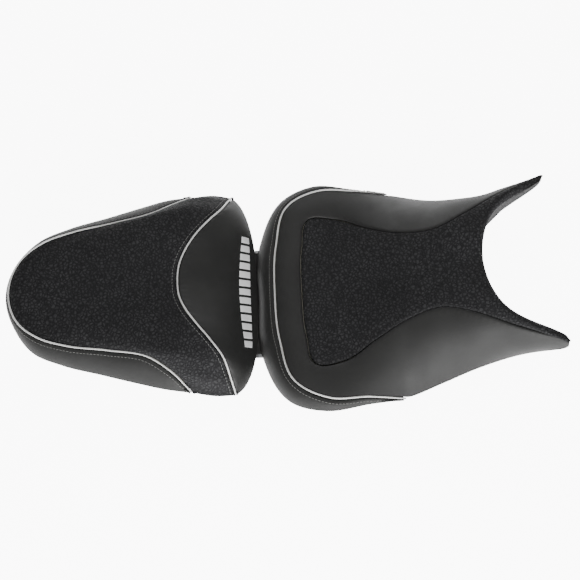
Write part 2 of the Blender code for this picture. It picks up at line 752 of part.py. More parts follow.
def pillion_floor(rim, share, s):
    """The underside: a deep tub between the frame rails below a raised edge."""
    middle_x = JOINT_X - SEAT_GAP - PILLION_LENGTH * (1 - share)
    x = middle_x + (rim[0] - middle_x) * s
    tail = (JOINT_X - SEAT_GAP - x) / PILLION_LENGTH
    tub = smoothstep(tail, 0.0, 0.2) * (1 - smoothstep(tail, 0.80, 0.985))
    low = PILLION_TUB_DEPTH * PILLION_HEIGHT / PILLION_DRAWN[2]
    drop = (low - rim[2]) * tub * (1 - smoothstep(s, 0.45, 0.9))
    return np.array([x, rim[1] * s, rim[2] + drop])


def pillion_form():
    along, around, down = samples(0, 1, ALONG), samples(0, LAST, AROUND), samples(0, 1, DOWN)
    skins = [[[pillion_centre(u, v) for u in along] for v in around],
             [[pillion_band(v, s) for s in down] for v in around],
             [[pillion_front(v, s) for s in down] for v in around]]
    ring = pillion_ring()
    floor = [[pillion_floor(rim, index / (len(ring) - 1), s) for s in samples(0, 1, ACROSS)]
             for index, rim in enumerate(ring)]
    return body_mesh(skins, floor)


def away(curve, at, inward):
    """The way across a surface that leads straight off the curve at its edge."""
    along = curve.way(at)
    return unit(inward - along * np.dot(inward, along))


def pillion_covers():
    trim = PIPING_RADIUS + PIPING_GAP
    centre_trim = trim + 2 * PIPING_GAP
    down = samples(0, 1, DOWN)

    def centre_row(v):
        ends = [(0.0, 0.1), (1.0, 0.9)]
        keys = ("tail_pipe", "front_pipe")
        off = [away(PILLION[key], v, pillion_centre(b, v) - pillion_centre(a, v)) * centre_trim
               for key, (a, b) in zip(keys, ends)]
        return [pillion_centre(u, v) + off[0] * (1 - u) ** 3 + off[1] * u**3 for u in samples(0, 1, ALONG)]

    panel("pillion_centre_panel", [[centre_row(v) for v in samples(0, LAST, AROUND)]], GRIP_CLOTH,
          outward_of_pillion)

    def wall_row(surface, key, v):
        off = away(PILLION[key], v, surface(v, 0.2) - surface(v, 0.0)) * trim
        return [surface(v, s) + off * (1 - s) for s in down]

    panel("pillion_tail_band",
          [[wall_row(pillion_band, "tail_pipe", v) for v in samples(0, LAST - 0.75, AROUND)]],
          VINYL, outward_of_pillion)
    panel("pillion_front_panel",
          [[wall_row(pillion_front, "front_pipe", v) for v in samples(0, LAST - 0.75, AROUND)]],
          VINYL, outward_of_pillion)
    for name, key in (("pillion_tail_piping", "tail_pipe"), ("pillion_front_piping", "front_pipe")):
        half = [pillion_pipe_line(PILLION[key], v) for v in samples(0, LAST - 0.2, 24)]
        tube(name, both_sides(half), PIPING_RADIUS, PIPING)


def pillion_pipe_line(curve, v):
    out = unit(curve(v) - pillion_heart() * np.array([1, 0, 1]) - np.array([0, curve(v)[1] * 0.3, 0]))
    return curve(v) + out * PIPING_LIFT


def pillion_heart():
    return np.array([JOINT_X - PILLION_LENGTH * 0.45, 0, PILLION_HEIGHT * 0.2])


def outward_of_pillion(at):
    return (Vector(at) - Vector(pillion_heart())).normalized()


def pillion_emblem():
    """A generic raised motif on the front slope."""
    rows = []
    for v in samples(0, 3.9, 11):
        a, b = PILLION["front_pipe"](v), PILLION["front_rim"](v)
        middle, half = 0.80, EMBLEM_DEPTH / 2 / np.linalg.norm(b - a)
        rows.append([pillion_front(v, s) for s in samples(middle - half, middle + half, 2)])
    half_length = EMBLEM_LENGTH / 2
    rows = [row for row in rows if row[0][1] < half_length]
    obj = mesh_object("pillion_emblem", [rows], outward=outward_of_pillion)
    mirror(obj)
    lift = obj.modifiers.new("on the cover", "DISPLACE")
    lift.strength = FIT_GAP
    lift.mid_level = 0.0
    solidify(obj, EMBLEM_WALL, 1.0)
    keep(obj, SEAT, PIPING)


def pillion_fittings(base):
    for label, x, y in (("front", 52, 50), ("tail", 212, 40)):
        for side, sign in (("left", 1), ("right", -1)):
            at = pillion_point((x, y, 0))
            bumper(f"pillion_{label}_bumper_{side}", base, at[0], sign * at[1])
    for side, sign in (("left", 1), ("right", -1)):
        tail_hook(side, base, sign * HOOK_SPREAD * 0.5)
    striker(base)


def tail_hook(side, base, y):
    """A hook that reaches back under the tail's cross bar."""
    leg = pillion_point((236, 0, 0))[0]
    front = leg + 0.022
    top = base.height(leg, y) + 0.012
    bottom = base.height(leg, y) - HOOK_DROP
    pad = base.height(front, y) - HOOK_WALL
    hook = bent_plate(f"pillion_tail_hook_{side}",
                      [(front, pad), (front, top), (leg - HOOK_WALL, top), (leg - HOOK_WALL, bottom),
                       (leg - HOOK_WALL - HOOK_REACH, bottom),
                       (leg - HOOK_WALL - HOOK_REACH - 0.002, bottom - HOOK_WALL / 2),
                       (leg - HOOK_WALL - HOOK_REACH, bottom - HOOK_WALL), (leg, bottom - HOOK_WALL),
                       (leg, pad)], HOOK_WIDTH, y, STEEL)
    fastener(f"pillion_hook_rivet_{side}", base, (leg + front) / 2 + 0.001, y, hook, pad, RIVET_HEAD_RADIUS)
    cut(hook, base.cutter)


def striker(base):
    """The steel loop that the seat lock catches, on a screwed plate."""
    x = pillion_point((82, 0, 0))[0]
    length, width, wall = STRIKER_PLATE
    bottom = base.height(x, 0) - wall
    plate = box("pillion_striker_plate", (x - length / 2, -width / 2, bottom),
                (x + length / 2, width / 2, bottom + 0.02), STEEL)
    cut(plate, base.cutter)
    half, start = STRIKER_SPAN / 2, bottom - FIT_GAP
    low, bend = start - STRIKER_DROP + STRIKER_WIRE, 0.006
    arc = [(half - bend + bend * math.cos(a), low + bend - bend * math.sin(a))
           for a in np.linspace(0, math.pi / 2, 6)]
    side = [(half, start), *arc]
    line = [(x, y, z) for y, z in side] + [(x, -y, z) for y, z in reversed(side)]
    tube("pillion_striker", line, STRIKER_WIRE, STEEL)
    for label, y in (("left", width / 2 - 0.007), ("right", 0.007 - width / 2)):
        fastener(f"pillion_striker_screw_{label}", base, x, y, plate, bottom, SCREW_HEAD_RADIUS)


def centre_lengthways():
    """Puts the middle of the whole box over the origin."""
    bpy.context.view_layer.update()
    graph = bpy.context.evaluated_depsgraph_get()
    ends = []
    for obj in SEAT.objects:
        shape = obj.evaluated_get(graph)
        ends += [(obj.matrix_world @ vert.co).x for vert in shape.to_mesh().vertices]
        shape.to_mesh_clear()
    shift = -(min(ends) + max(ends)) / 2
    for obj in [*SEAT.objects, *CUTTERS.objects]:
        obj.location.x += shift
    print("joint between the seats at", round(JOINT_X + shift, 5))


# ---------------------------------------------------------------- build
clear_scene()
SEAT = collection("motorcycle_seat")
CUTTERS = collection("cutters")
VINYL = material("vinyl", (0.055, 0.055, 0.052), 0.5)
GRIP_CLOTH = material("grip_cloth", (0.022, 0.022, 0.024), 0.75)
PIPING = material("piping", (0.62, 0.62, 0.62), 0.4)
FOAM = material("foam", (0.32, 0.31, 0.28), 0.9)
PLASTIC = material("pan_plastic", (0.03, 0.03, 0.032), 0.55)
RUBBER = material("rubber", (0.02, 0.02, 0.02), 0.7)
STEEL = material("zinc_steel", (0.55, 0.55, 0.55), 0.35, 1.0)

JOINT_X = (PILLION_LENGTH - RIDER_LENGTH) / 2
LAST = len(PILLION_TAIL_PIPE) - 1
RIDER = {"seam": Curve(RIDER_SEAM, rider_point, (True, False)),
         "pipe": Curve(RIDER_PIPE, rider_point, (True, False)),
         "rim": Curve(RIDER_RIM, rider_point, (True, False)),
         "middle": Curve(RIDER_MIDDLE, rider_point),
         "notch": Curve(RIDER_NOTCH, rider_point, (True, False)),
         "floor": Curve(RIDER_FLOOR, rider_point),
         "foot": Curve(RIDER_NOTCH_FOOT, rider_point, (True, False))}
PILLION = {"tail_pipe": Curve(PILLION_TAIL_PIPE, pillion_point, (True, False)),
           "front_pipe": Curve(PILLION_FRONT_PIPE, pillion_point, (True, False)),
           "tail_rim": Curve(PILLION_TAIL_RIM, pillion_point, (True, False)),
           "side_rim": Curve(PILLION_SIDE_RIM, pillion_point),
           "front_rim": Curve(PILLION_FRONT_RIM, pillion_point, (True, False))}

rider = rider_form()
RIDER_BASE = Base(rider, "rider", PLASTIC, FOAM, rider_point((RIDER_PAN_END, 0, 0))[0],
                  rider_point((RIDER_FOAM_END, 0, 0))[0])
rider_covers()
rider_fittings(RIDER_BASE)

pillion = pillion_form()
PILLION_BASE = Base(pillion, "pillion", PLASTIC, FOAM, JOINT_X - SEAT_GAP - FOAM_INSET,
                    JOINT_X - SEAT_GAP - FOAM_INSET)
pillion_covers()
pillion_emblem()
pillion_fittings(PILLION_BASE)
centre_lengthways()
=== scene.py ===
"""Two-piece motorcycle seat: sewn vinyl covers, silver piping, topstitching, hems, staples and trim.

Lengths are in metres. +X points to the front of the motorcycle, +Y to its left side and +Z up.
"""
import json
import math
from itertools import pairwise

import bmesh
import bpy
import numpy as np
from mathutils import Matrix, Vector
from mathutils.bvhtree import BVHTree


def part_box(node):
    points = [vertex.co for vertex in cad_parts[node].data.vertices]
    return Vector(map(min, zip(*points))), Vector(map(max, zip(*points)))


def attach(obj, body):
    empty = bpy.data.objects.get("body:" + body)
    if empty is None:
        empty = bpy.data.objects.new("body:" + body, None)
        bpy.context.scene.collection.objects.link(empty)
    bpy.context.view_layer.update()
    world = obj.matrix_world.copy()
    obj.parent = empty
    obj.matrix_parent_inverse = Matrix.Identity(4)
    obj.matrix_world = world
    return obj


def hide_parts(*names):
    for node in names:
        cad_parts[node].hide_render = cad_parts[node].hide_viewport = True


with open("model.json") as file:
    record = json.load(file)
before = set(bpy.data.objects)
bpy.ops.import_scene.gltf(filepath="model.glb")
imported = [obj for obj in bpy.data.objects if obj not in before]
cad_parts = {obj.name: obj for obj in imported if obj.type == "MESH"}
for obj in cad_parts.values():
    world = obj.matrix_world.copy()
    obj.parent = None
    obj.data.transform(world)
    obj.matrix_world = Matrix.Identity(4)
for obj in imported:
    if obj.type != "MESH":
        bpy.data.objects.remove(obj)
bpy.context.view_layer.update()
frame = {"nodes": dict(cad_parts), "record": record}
bpy.ops.object.select_all(action="DESELECT")

# ---------------------------------------------------------------- rider pad: grip panel
# The rider sits on a panel of crinkled grip vinyl. It runs from a seam behind the rider up between the
# two horns, and folds over the notch edge down the wall that faces the tank. Its edges turn down into
# the seams, and it is pulled over moulded foam, so that it swells a little between them.
MM = 0.001
JOINT_X = -0.02363
RIDER_SIZE = (0.360, 0.156, 0.117)
RIDER_DRAWN = (360, 156, 117)
CORNER, KINK, NOSE, TIP = 2, 5, 7, 9
VINYL_THICK = 0.0012
SEAM_GAP = 0.00005
SEAM_DIP = 0.0021
SEAM_REACH = 0.0013
TUCK = 0.0028
HEM_STEPS = (0.0012, 0.004, 0.009)
EDGE_STEPS = (0.0, 0.0006, 0.0014, 0.0028, 0.005)
PUCKER_PITCH = 0.0085
PUCKER_HEIGHT = 0.00022
PUCKER_AT, PUCKER_REACH = 0.0045, 0.003
SEAT_CROWN, HORN_CROWN = 0.0101, 0.020
HORN_TIP = (JOINT_X + 0.361, 0.109, 0.1085)
HORN_ROUND, HORN_END = 0.010, 0.3
MERGE_WITHIN, SLIVER = 0.00004, 0.00002
HELD_ROWS, CLOTH_STEPS = 3, 20
FOAM_PRESSURE, STRETCH_STIFF, BEND_STIFF = 4.0, 20, 2


def rider_point(point):
    """Drawn millimetres (ahead of the joint between the pads, from the middle plane, up) to metres."""
    x, y, z = (value / drawn * size for value, drawn, size in zip(point, RIDER_DRAWN, RIDER_SIZE))
    return np.array([JOINT_X + x, y, z])


class Curve:
    """A smooth curve through its stations; whole numbers are the stations themselves."""

    def __init__(self, points, place, square_start=False):
        self.points = np.array([place(p) for p in points])
        steps = np.diff(self.points, axis=0)
        self.lengths = np.linalg.norm(steps, axis=1)
        ways = steps / self.lengths[:, None]
        inner = ways[:-1] * self.lengths[1:, None] + ways[1:] * self.lengths[:-1, None]
        ends = [ways[0], *inner, ways[-1]]
        if square_start:
            ends[0] = np.array([0.0, 1.0, 0.0])
        self.ways = np.array([way / np.linalg.norm(way) for way in ends])

    def __call__(self, at):
        k = min(int(at), len(self.lengths) - 1)
        t = at - k
        a, b = self.points[k], self.points[k + 1]
        leave, arrive = self.ways[k] * self.lengths[k], self.ways[k + 1] * self.lengths[k]
        return ((2 * t**3 - 3 * t**2 + 1) * a + (t**3 - 2 * t**2 + t) * leave
                + (3 * t**2 - 2 * t**3) * b + (t**3 - t**2) * arrive)

    def way(self, at, step=0.02):
        run = self(min(at + step, len(self.lengths))) - self(max(at - step, 0))
        return run / np.linalg.norm(run)


RIDER = {
    "seam": Curve([(55, 0, 41), (58, 62, 43), (68, 99, 45), (100, 98, 46), (140, 77, 59), (176, 60, 75),
                   (220, 53, 96), (255, 66, 107), (298, 88, 113), (357, 113, 116)], rider_point, True),
    "pipe": Curve([(21, 0, 37), (25, 66, 39), (42, 121, 43), (80, 142, 42), (130, 142, 39),
                   (176, 142, 26)], rider_point, True),
    "rim": Curve([(0, 0, 12), (3, 78, 12), (38, 142, 22), (76, 156, 31), (130, 149, 29), (176, 142, 26),
                  (220, 128, 34), (262, 116, 49), (310, 105, 58), (359, 115, 101)], rider_point, True),
    "middle": Curve([(55, 0, 41), (102, 0, 45), (146, 0, 58), (186, 0, 77), (230, 0, 97), (272, 0, 109)],
                    rider_point),
    "notch": Curve([(272, 0, 109), (288, 58, 112), (353, 102, 115)], rider_point, True),
    "floor": Curve([(0, 0, 12), (76, 0, 15), (140, 0, 20), (186, 0, 32), (230, 0, 47), (266, 0, 56)],
                   rider_point),
    "foot": Curve([(266, 0, 56), (288, 66, 60), (354, 104, 101)], rider_point, True),
}


def unit(vector):
    return vector / max(np.linalg.norm(vector), 1e-9)


def ease(value, low, high):
    t = min(max((value - low) / (high - low), 0.0), 1.0)
    return t * t * (3 - 2 * t)


def between(a, b, along, share, bulge):
    """A point of a strip between two edges, raised by a round bulge square to the strip."""
    chord = b - a
    out = unit(np.cross(along, chord))
    if out[2] * 2 + out[1] < 0:
        out = -out
    return a + chord * share + out * bulge * 4 * share * (1 - share)


def rider_inner(q):
    return RIDER["middle"](q - CORNER) if q < NOSE else RIDER["notch"](q - NOSE)


def rider_insert(q, s):
    a, b = rider_inner(q), RIDER["seam"](q)
    flat = a + (b - a) * s
    rear = RIDER["seam"](CORNER * s)
    rear_flat = rider_inner(CORNER) + (RIDER["seam"](CORNER) - rider_inner(CORNER)) * s
    near_rear = max(1 - (q - CORNER) / 2, 0) ** 2
    horn = ease(q, NOSE - 1, NOSE + 0.5) * (1 - ease(q, TIP - 0.7, TIP))
    seat_crown = SEAT_CROWN * s * s * (1 - s) * (1 - ease(q, TIP - 1.2, TIP - 0.8))
    crown = (1 - horn) * seat_crown + horn * HORN_CROWN * s * (1 - s)
    crown *= ease(q, CORNER, CORNER + 1)
    return flat + (rear - rear_flat) * near_rear + np.array([0, 0, crown])


def rider_floor(q, s):
    """The underside: a tub between the frame rails with a raised edge."""
    def row(at):
        a = RIDER["floor"](at - CORNER) if at < NOSE else RIDER["foot"](at - NOSE)
        b = RIDER["rim"](at)
        step = s if at >= NOSE else s + (ease(s, 0.5, 0.9) - s) * ease(NOSE - at, 0, 0.6)
        flat = a + (b - a) * s
        flat[2] = a[2] + (b[2] - a[2]) * step
        return flat
    near_rear = max(1 - (q - CORNER), 0) ** 2
    return row(q) + (RIDER["rim"](CORNER * s) - row(CORNER)) * near_rear


def span(low, high, count):
    return [float(value) for value in np.linspace(low, high, count + 1)]


def across(width, first, last, count):
    """Shares across a strip: close together beside a sewn or folded edge, even between."""
    near = np.array(EDGE_STEPS) * min(1.0, width * 0.45 / EDGE_STEPS[-1]) / width
    low, high = first / width, 1 - last / width
    even = np.linspace(low + near[-1], high - near[-1], count + 1)[1:-1]
    return np.concatenate([low + near, even, (high - near)[::-1]])


def grid_normals(points, heart):
    """Normals of a grid of points, turned away from a point inside the pad."""
    lengthways, crossways = np.gradient(points, axis=0), np.gradient(points, axis=1)
    normals = np.cross(lengthways, crossways)
    normals /= np.maximum(np.linalg.norm(normals, axis=2, keepdims=True), 1e-12)
    if np.sum(normals * (points - heart)) < 0:
        normals = -normals
    return normals


def sewn(points, heart, sides, ends=(False, False)):
    """Turns the sewn edges of a grid down into their seams; sides and ends say which are sewn."""
    normals = grid_normals(points, heart)
    on_middle = np.abs(points[:, :, 1]) < 1e-6
    steps_across = np.linalg.norm(np.diff(points, axis=1), axis=2)
    steps_along = np.linalg.norm(np.diff(points, axis=0), axis=2)
    from_first = np.pad(np.cumsum(steps_across, axis=1), ((0, 0), (1, 0)))
    from_start = np.pad(np.cumsum(steps_along, axis=0), ((1, 0), (0, 0)))
    gaps = [(from_first, sides[0]), (from_first[:, -1:] - from_first, sides[1]),
            (from_start, ends[0]), (from_start[-1:] - from_start, ends[1])]
    travel = np.broadcast_to(from_start[:, -1:], from_start.shape)
    depth = np.zeros(points.shape[:2])
    nearest = np.full(points.shape[:2], 1.0)
    for gap, is_sewn in gaps:
        if is_sewn:
            depth = np.maximum(depth, SEAM_DIP * np.exp(-gap / SEAM_REACH))
            nearest = np.minimum(nearest, gap)
    ripple = np.sin(travel * 2 * math.pi / PUCKER_PITCH) * np.exp(
        -((nearest - PUCKER_AT) / PUCKER_REACH) ** 2)
    moved = points - normals * (depth - PUCKER_HEIGHT * ripple)[:, :, None]
    tuck = -normals * TUCK
    first = moved[:, :1] + tuck[:, :1] if sides[0] else moved[:, :0]
    last = moved[:, -1:] + tuck[:, -1:] if sides[1] else moved[:, :0]
    moved = np.concatenate([first, moved, last], axis=1)
    wide = np.concatenate([first * 0 + tuck[:, :1], tuck, last * 0 + tuck[:, -1:]], axis=1)
    head = moved[:1] + wide[:1] if ends[0] else moved[:0]
    foot = moved[-1:] + wide[-1:] if ends[1] else moved[:0]
    moved = np.concatenate([head, moved, foot], axis=0)
    added = tuple(tuple(int(is_sewn) for is_sewn in pair) for pair in (ends, sides))
    middle = np.pad(on_middle, added, mode="edge")
    moved[:, :, 1][middle] = 0.0
    return moved


def add_piece(name, mesh):
    """An object of the scene from a mesh, or from a bmesh, which is used up."""
    if isinstance(mesh, bmesh.types.BMesh):
        built = bpy.data.meshes.new(name)
        mesh.to_mesh(built)
        mesh.free()
        mesh = built
    obj = bpy.data.objects.new(name, mesh)
    bpy.context.scene.collection.objects.link(obj)
    return obj


def face_tree(obj):
    """A tree of an object's faces, to find the nearest place on them."""
    bm = bmesh.new()
    bm.from_mesh(obj.data)
    tree = BVHTree.FromBMesh(bm)
    bm.free()
    return tree


def add_grid(bm, verts, turned=False):
    """Faces between the rows of a grid of vertices."""
    for near, far in pairwise(verts):
        for (a, b), (d, c) in zip(pairwise(near), pairwise(far)):
            bm.faces.new((d, c, b, a) if turned else (a, b, c, d))


def add_tube(bm, rings):
    """Faces between rings of vertices, and over the first and the last."""
    for near, far in pairwise(rings):
        for k in range(len(near)):
            bm.faces.new((near[k - 1], near[k], far[k], far[k - 1]))
    bm.faces.new(rings[0])
    bm.faces.new(rings[-1])
    bmesh.ops.recalc_face_normals(bm, faces=bm.faces)


def sheet_mesh(name, grids, heart):
    """One sheet of vinyl from grids of points on the left side and their mirror images."""
    bm = bmesh.new()
    for points in grids:
        for sign in (1, -1):
            verts = [[bm.verts.new((x, sign * y, z)) for x, y, z in row] for row in points]
            add_grid(bm, verts, turned=sign < 0)
    bmesh.ops.remove_doubles(bm, verts=bm.verts, dist=MERGE_WITHIN)
    bmesh.ops.dissolve_degenerate(bm, dist=SLIVER, edges=bm.edges)
    bmesh.ops.recalc_face_normals(bm, faces=bm.faces)
    lean = sum(f.normal.dot(f.calc_center_median() - Vector(heart)) * f.calc_area() for f in bm.faces)
    if lean < 0:
        bmesh.ops.reverse_faces(bm, faces=bm.faces)
    return add_piece(name, bm)


def swell(obj, held, cap):
    """Foam presses the sheet out between its seams: a cloth simulation with its edges held."""
    mesh = obj.data
    group = obj.vertex_groups.new(name="held")
    group.add(held, 1.0, "REPLACE")
    before = np.array([v.co[:] for v in mesh.vertices])
    cloth = obj.modifiers.new("foam pressure", "CLOTH")
    cloth.settings.quality = 4
    cloth.settings.vertex_group_mass = "held"
    cloth.settings.use_pressure = True
    cloth.settings.uniform_pressure_force = FOAM_PRESSURE
    cloth.settings.tension_stiffness = STRETCH_STIFF
    cloth.settings.compression_stiffness = STRETCH_STIFF
    cloth.settings.bending_stiffness = BEND_STIFF
    cloth.settings.effector_weights.gravity = 0
    cloth.collision_settings.use_collision = False
    for step in range(1, CLOTH_STEPS + 1):
        bpy.context.scene.frame_set(step)
    shape = obj.evaluated_get(bpy.context.evaluated_depsgraph_get())
    after = np.array([v.co[:] for v in shape.data.vertices])
    obj.modifiers.remove(cloth)
    bpy.context.scene.frame_set(1)
    move = after - before
    length = np.linalg.norm(move, axis=1, keepdims=True)
    move *= cap / (length + cap)
    for vert, place in zip(mesh.vertices, before + move):
        vert.co = place
    obj.vertex_groups.clear()


def rounded_horns(points):
    """Draws the last stretch of each horn in towards its middle, so that the tip is round."""
    points = np.array(points)
    ahead = np.clip((points[:, :, 0] - HORN_TIP[0] + HORN_ROUND) / HORN_ROUND, 0, 1)
    scale = HORN_END + (1 - HORN_END) * np.sqrt(1 - ahead**2)
    for axis in (1, 2):
        points[:, :, axis] = HORN_TIP[axis] + (points[:, :, axis] - HORN_TIP[axis]) * scale
    return points


def edge_rows(obj):
    """The vertices of an open sheet's edge and of the rows next to it."""
    bm = bmesh.new()
    bm.from_mesh(obj.data)
    rows = {v for v in bm.verts if v.is_boundary}
    for _ in range(HELD_ROWS):
        rows |= {e.other_vert(v) for v in rows for e in v.link_edges}
    held = sorted(v.index for v in rows)
    bm.free()
    return held


def shaped_by(obj, kind, **settings):
    """Adds a modifier with its settings and applies it."""
    made = obj.modifiers.new(kind.lower(), kind)
    for label, value in settings.items():
        setattr(made, label, value)
    bpy.context.view_layer.objects.active = obj
    bpy.ops.object.modifier_apply(modifier=made.name)


def make_sheet(name, grids, heart, cap=0.0022):
    """Mesh, swelling and thickness of a cover panel. Returns it with a tree of its outer face."""
    obj = sheet_mesh(name, [rounded_horns(points) for points in grids], heart)
    swell(obj, edge_rows(obj), cap)
    shaped_by(obj, "SUBSURF", levels=1, render_levels=1)
    tree = face_tree(obj)
    shaped_by(obj, "SOLIDIFY", thickness=VINYL_THICK, offset=-1.0, use_quality_normals=True)
    obj.data.shade_smooth()
    return obj, tree


RIDER_HEART = np.array([JOINT_X + 0.12, 0.0, -0.06])


def rider_hem(q, h):
    """The floor of the pad, a distance inwards from its rim."""
    width = np.linalg.norm(rider_floor(max(q, CORNER), 0) - rider_floor(max(q, CORNER), 1))
    inwards = min(h / width, 0.45)
    forwards = h / 0.075 * (1 - ease(q, CORNER, CORNER + 0.5))
    if q < CORNER:
        return rider_floor(CORNER + forwards, q / CORNER * (1 - inwards * ease(q, CORNER - 0.6, CORNER)))
    return rider_floor(q + forwards, 1 - inwards)


def insert_row(q):
    width = np.linalg.norm(RIDER["seam"](q) - rider_inner(q))
    return [rider_insert(q, s) for s in across(width, 0, SEAM_GAP, 16)]


rear_steps = [0.001, 0.024, 0.048, 0.09, 0.15]
insert_stations = [CORNER + step for step in rear_steps] + span(CORNER + 0.22, TIP, 118)
insert_points = sewn(np.array([insert_row(q) for q in insert_stations]), RIDER_HEART,
                     (False, True), (True, False))
horn_rows = [i for i, q in enumerate(insert_stations) if q >= NOSE]
wall_points = []
for i in horn_rows:
    q = insert_stations[i]
    top, foot = insert_points[i + 1][0], RIDER["foot"](q - NOSE)
    drop = np.linalg.norm(foot - top)
    wall = [top + (foot - top) * min(d, drop * 0.4) / drop for d in (0, 0.0012, 0.003, 0.006)]
    wall += [top + (foot - top) * s for s in (0.45, 0.6, 0.75, 0.88, 0.96, 1.0)]
    floor_width = np.linalg.norm(rider_floor(q, 1) - foot)
    wall += [rider_floor(q, min(h / floor_width, 0.45)) for h in HEM_STEPS]
    wall_points.append(wall)
rider_grip, _ = make_sheet("rider_grip_cover", [insert_points, np.array(wall_points)], RIDER_HEART)


def node_group(name, inputs, outputs):
    """An empty shader node group with named sockets, its input node and its output node."""
    group = bpy.data.node_groups.new(name, "ShaderNodeTree")
    for label, kind, value in inputs:
        socket = group.interface.new_socket(name=label, in_out="INPUT", socket_type=kind)
        if value is not None:
            socket.default_value = value
    for label, kind in outputs:
        group.interface.new_socket(name=label, in_out="OUTPUT", socket_type=kind)
    return group, group.nodes.new("NodeGroupInput"), group.nodes.new("NodeGroupOutput")


def math_node(tree, operation, first, second):
    node = tree.nodes.new("ShaderNodeMath")
    node.operation = operation
    for socket, value in zip(node.inputs, (first, second)):
        if isinstance(value, (int, float)):
            socket.default_value = value
        else:
            tree.links.new(value, socket)
    return node.outputs[0]


def vector_node(tree, operation, first, second=None):
    node = tree.nodes.new("ShaderNodeVectorMath")
    node.operation = operation
    tree.links.new(first, node.inputs[0])
    if second is not None:
        tree.links.new(second, node.inputs["Scale" if operation == "SCALE" else 1])
    return node


def noise_node(tree, vector, scale, detail=3.0):
    node = tree.nodes.new("ShaderNodeTexNoise")
    node.inputs["Detail"].default_value = detail
    tree.links.new(vector, node.inputs["Vector"])
    if isinstance(scale, (int, float)):
        node.inputs["Scale"].default_value = scale
    else:
        tree.links.new(scale, node.inputs["Scale"])
    return node


# pebbled grain: rounded cells with creases between them, warped so that no two are alike
GRAIN, grain_in, grain_out = node_group(
    "pebbled_grain",
    [("Vector", "NodeSocketVector", None), ("Pebble", "NodeSocketFloat", 0.002),
     ("Warp", "NodeSocketFloat", 0.5)],
    [("Height", "NodeSocketFloat"), ("Crease", "NodeSocketFloat")])
grain_scale = math_node(GRAIN, "DIVIDE", 1.0, grain_in.outputs["Pebble"])
grain_noise = noise_node(GRAIN, grain_in.outputs["Vector"],
                         math_node(GRAIN, "MULTIPLY", grain_scale, 0.8))
centred = vector_node(GRAIN, "SUBTRACT", grain_noise.outputs["Color"])
centred.inputs[1].default_value = (0.5, 0.5, 0.5)
warp_size = math_node(GRAIN, "MULTIPLY", grain_in.outputs["Pebble"], grain_in.outputs["Warp"])
pushed = vector_node(GRAIN, "SCALE", centred.outputs[0], warp_size)
warped = vector_node(GRAIN, "ADD", grain_in.outputs["Vector"], pushed.outputs[0])
cells = GRAIN.nodes.new("ShaderNodeTexVoronoi")
cells.feature = "DISTANCE_TO_EDGE"
GRAIN.links.new(warped.outputs[0], cells.inputs["Vector"])
GRAIN.links.new(grain_scale, cells.inputs["Scale"])
rounded = GRAIN.nodes.new("ShaderNodeMapRange")
rounded.interpolation_type = "SMOOTHSTEP"
rounded.inputs["From Max"].default_value = 0.35
GRAIN.links.new(cells.outputs["Distance"], rounded.inputs["Value"])
GRAIN.links.new(rounded.outputs["Result"], grain_out.inputs["Height"])
GRAIN.links.new(math_node(GRAIN, "SUBTRACT", 1.0, rounded.outputs["Result"]), grain_out.inputs["Crease"])

# broad variation: slow changes of shade and gloss, as on any handled surface
MOTTLE, mottle_in, mottle_out = node_group(
    "mottle",
    [("Vector", "NodeSocketVector", None), ("Size", "NodeSocketFloat", 0.05),
     ("Low", "NodeSocketFloat", 0.0), ("High", "NodeSocketFloat", 1.0)],
    [("Value", "NodeSocketFloat")])
mottle_noise = noise_node(MOTTLE, mottle_in.outputs["Vector"],
                          math_node(MOTTLE, "DIVIDE", 1.0, mottle_in.outputs["Size"]), 4.0)
mottle_range = MOTTLE.nodes.new("ShaderNodeMapRange")
mottle_range.inputs["From Min"].default_value = 0.3
mottle_range.inputs["From Max"].default_value = 0.7
MOTTLE.links.new(mottle_noise.outputs["Fac"], mottle_range.inputs["Value"])
MOTTLE.links.new(mottle_in.outputs["Low"], mottle_range.inputs["To Min"])
MOTTLE.links.new(mottle_in.outputs["High"], mottle_range.inputs["To Max"])
MOTTLE.links.new(mottle_range.outputs["Result"], mottle_out.inputs["Value"])


def finish_of(name, metallic=0.0):
    """A new material with its shader and the coordinates that its patterns read."""
    made = bpy.data.materials.new(name)
    made.use_nodes = True
    tree = made.node_tree
    shader = tree.nodes["Principled BSDF"]
    shader.inputs["Metallic"].default_value = metallic
    where = tree.nodes.new("ShaderNodeTexCoord").outputs["Object"]
    return made, tree, shader, where


def place_group(tree, group, where, **values):
    node = tree.nodes.new("ShaderNodeGroup")
    node.node_tree = group
    tree.links.new(where, node.inputs["Vector"])
    for label, value in values.items():
        node.inputs[label].default_value = value
    return node


def blend_colours(tree, share, low, high, socket):
    mix = tree.nodes.new("ShaderNodeMix")
    mix.data_type = "RGBA"
    for label, value in (("A", low), ("B", high)):
        slot = [s for s in mix.inputs if s.name == label and s.type == "RGBA"][0]
        if isinstance(value, tuple):
            slot.default_value = (*value, 1.0)
        else:
            tree.links.new(value, slot)
    factor = [s for s in mix.inputs if s.name == "Factor" and s.type == "VALUE"][0]
    tree.links.new(share, factor)
    result = [s for s in mix.outputs if s.type == "RGBA"][0]
    if socket is not None:
        tree.links.new(result, socket)
    return result


def vary_colour(tree, shader, where, size, low, high):
    """Slow changes of the base colour between two shades."""
    broad = place_group(tree, MOTTLE, where, Size=size, Low=0.0, High=1.0)
    blend_colours(tree, broad.outputs["Value"], low, high, shader.inputs["Base Color"])


def vary_gloss(tree, shader, where, size, low, high):
    """Slow changes of the roughness between two values."""
    gloss = place_group(tree, MOTTLE, where, Size=size, Low=low, High=high)
    tree.links.new(gloss.outputs["Value"], shader.inputs["Roughness"])


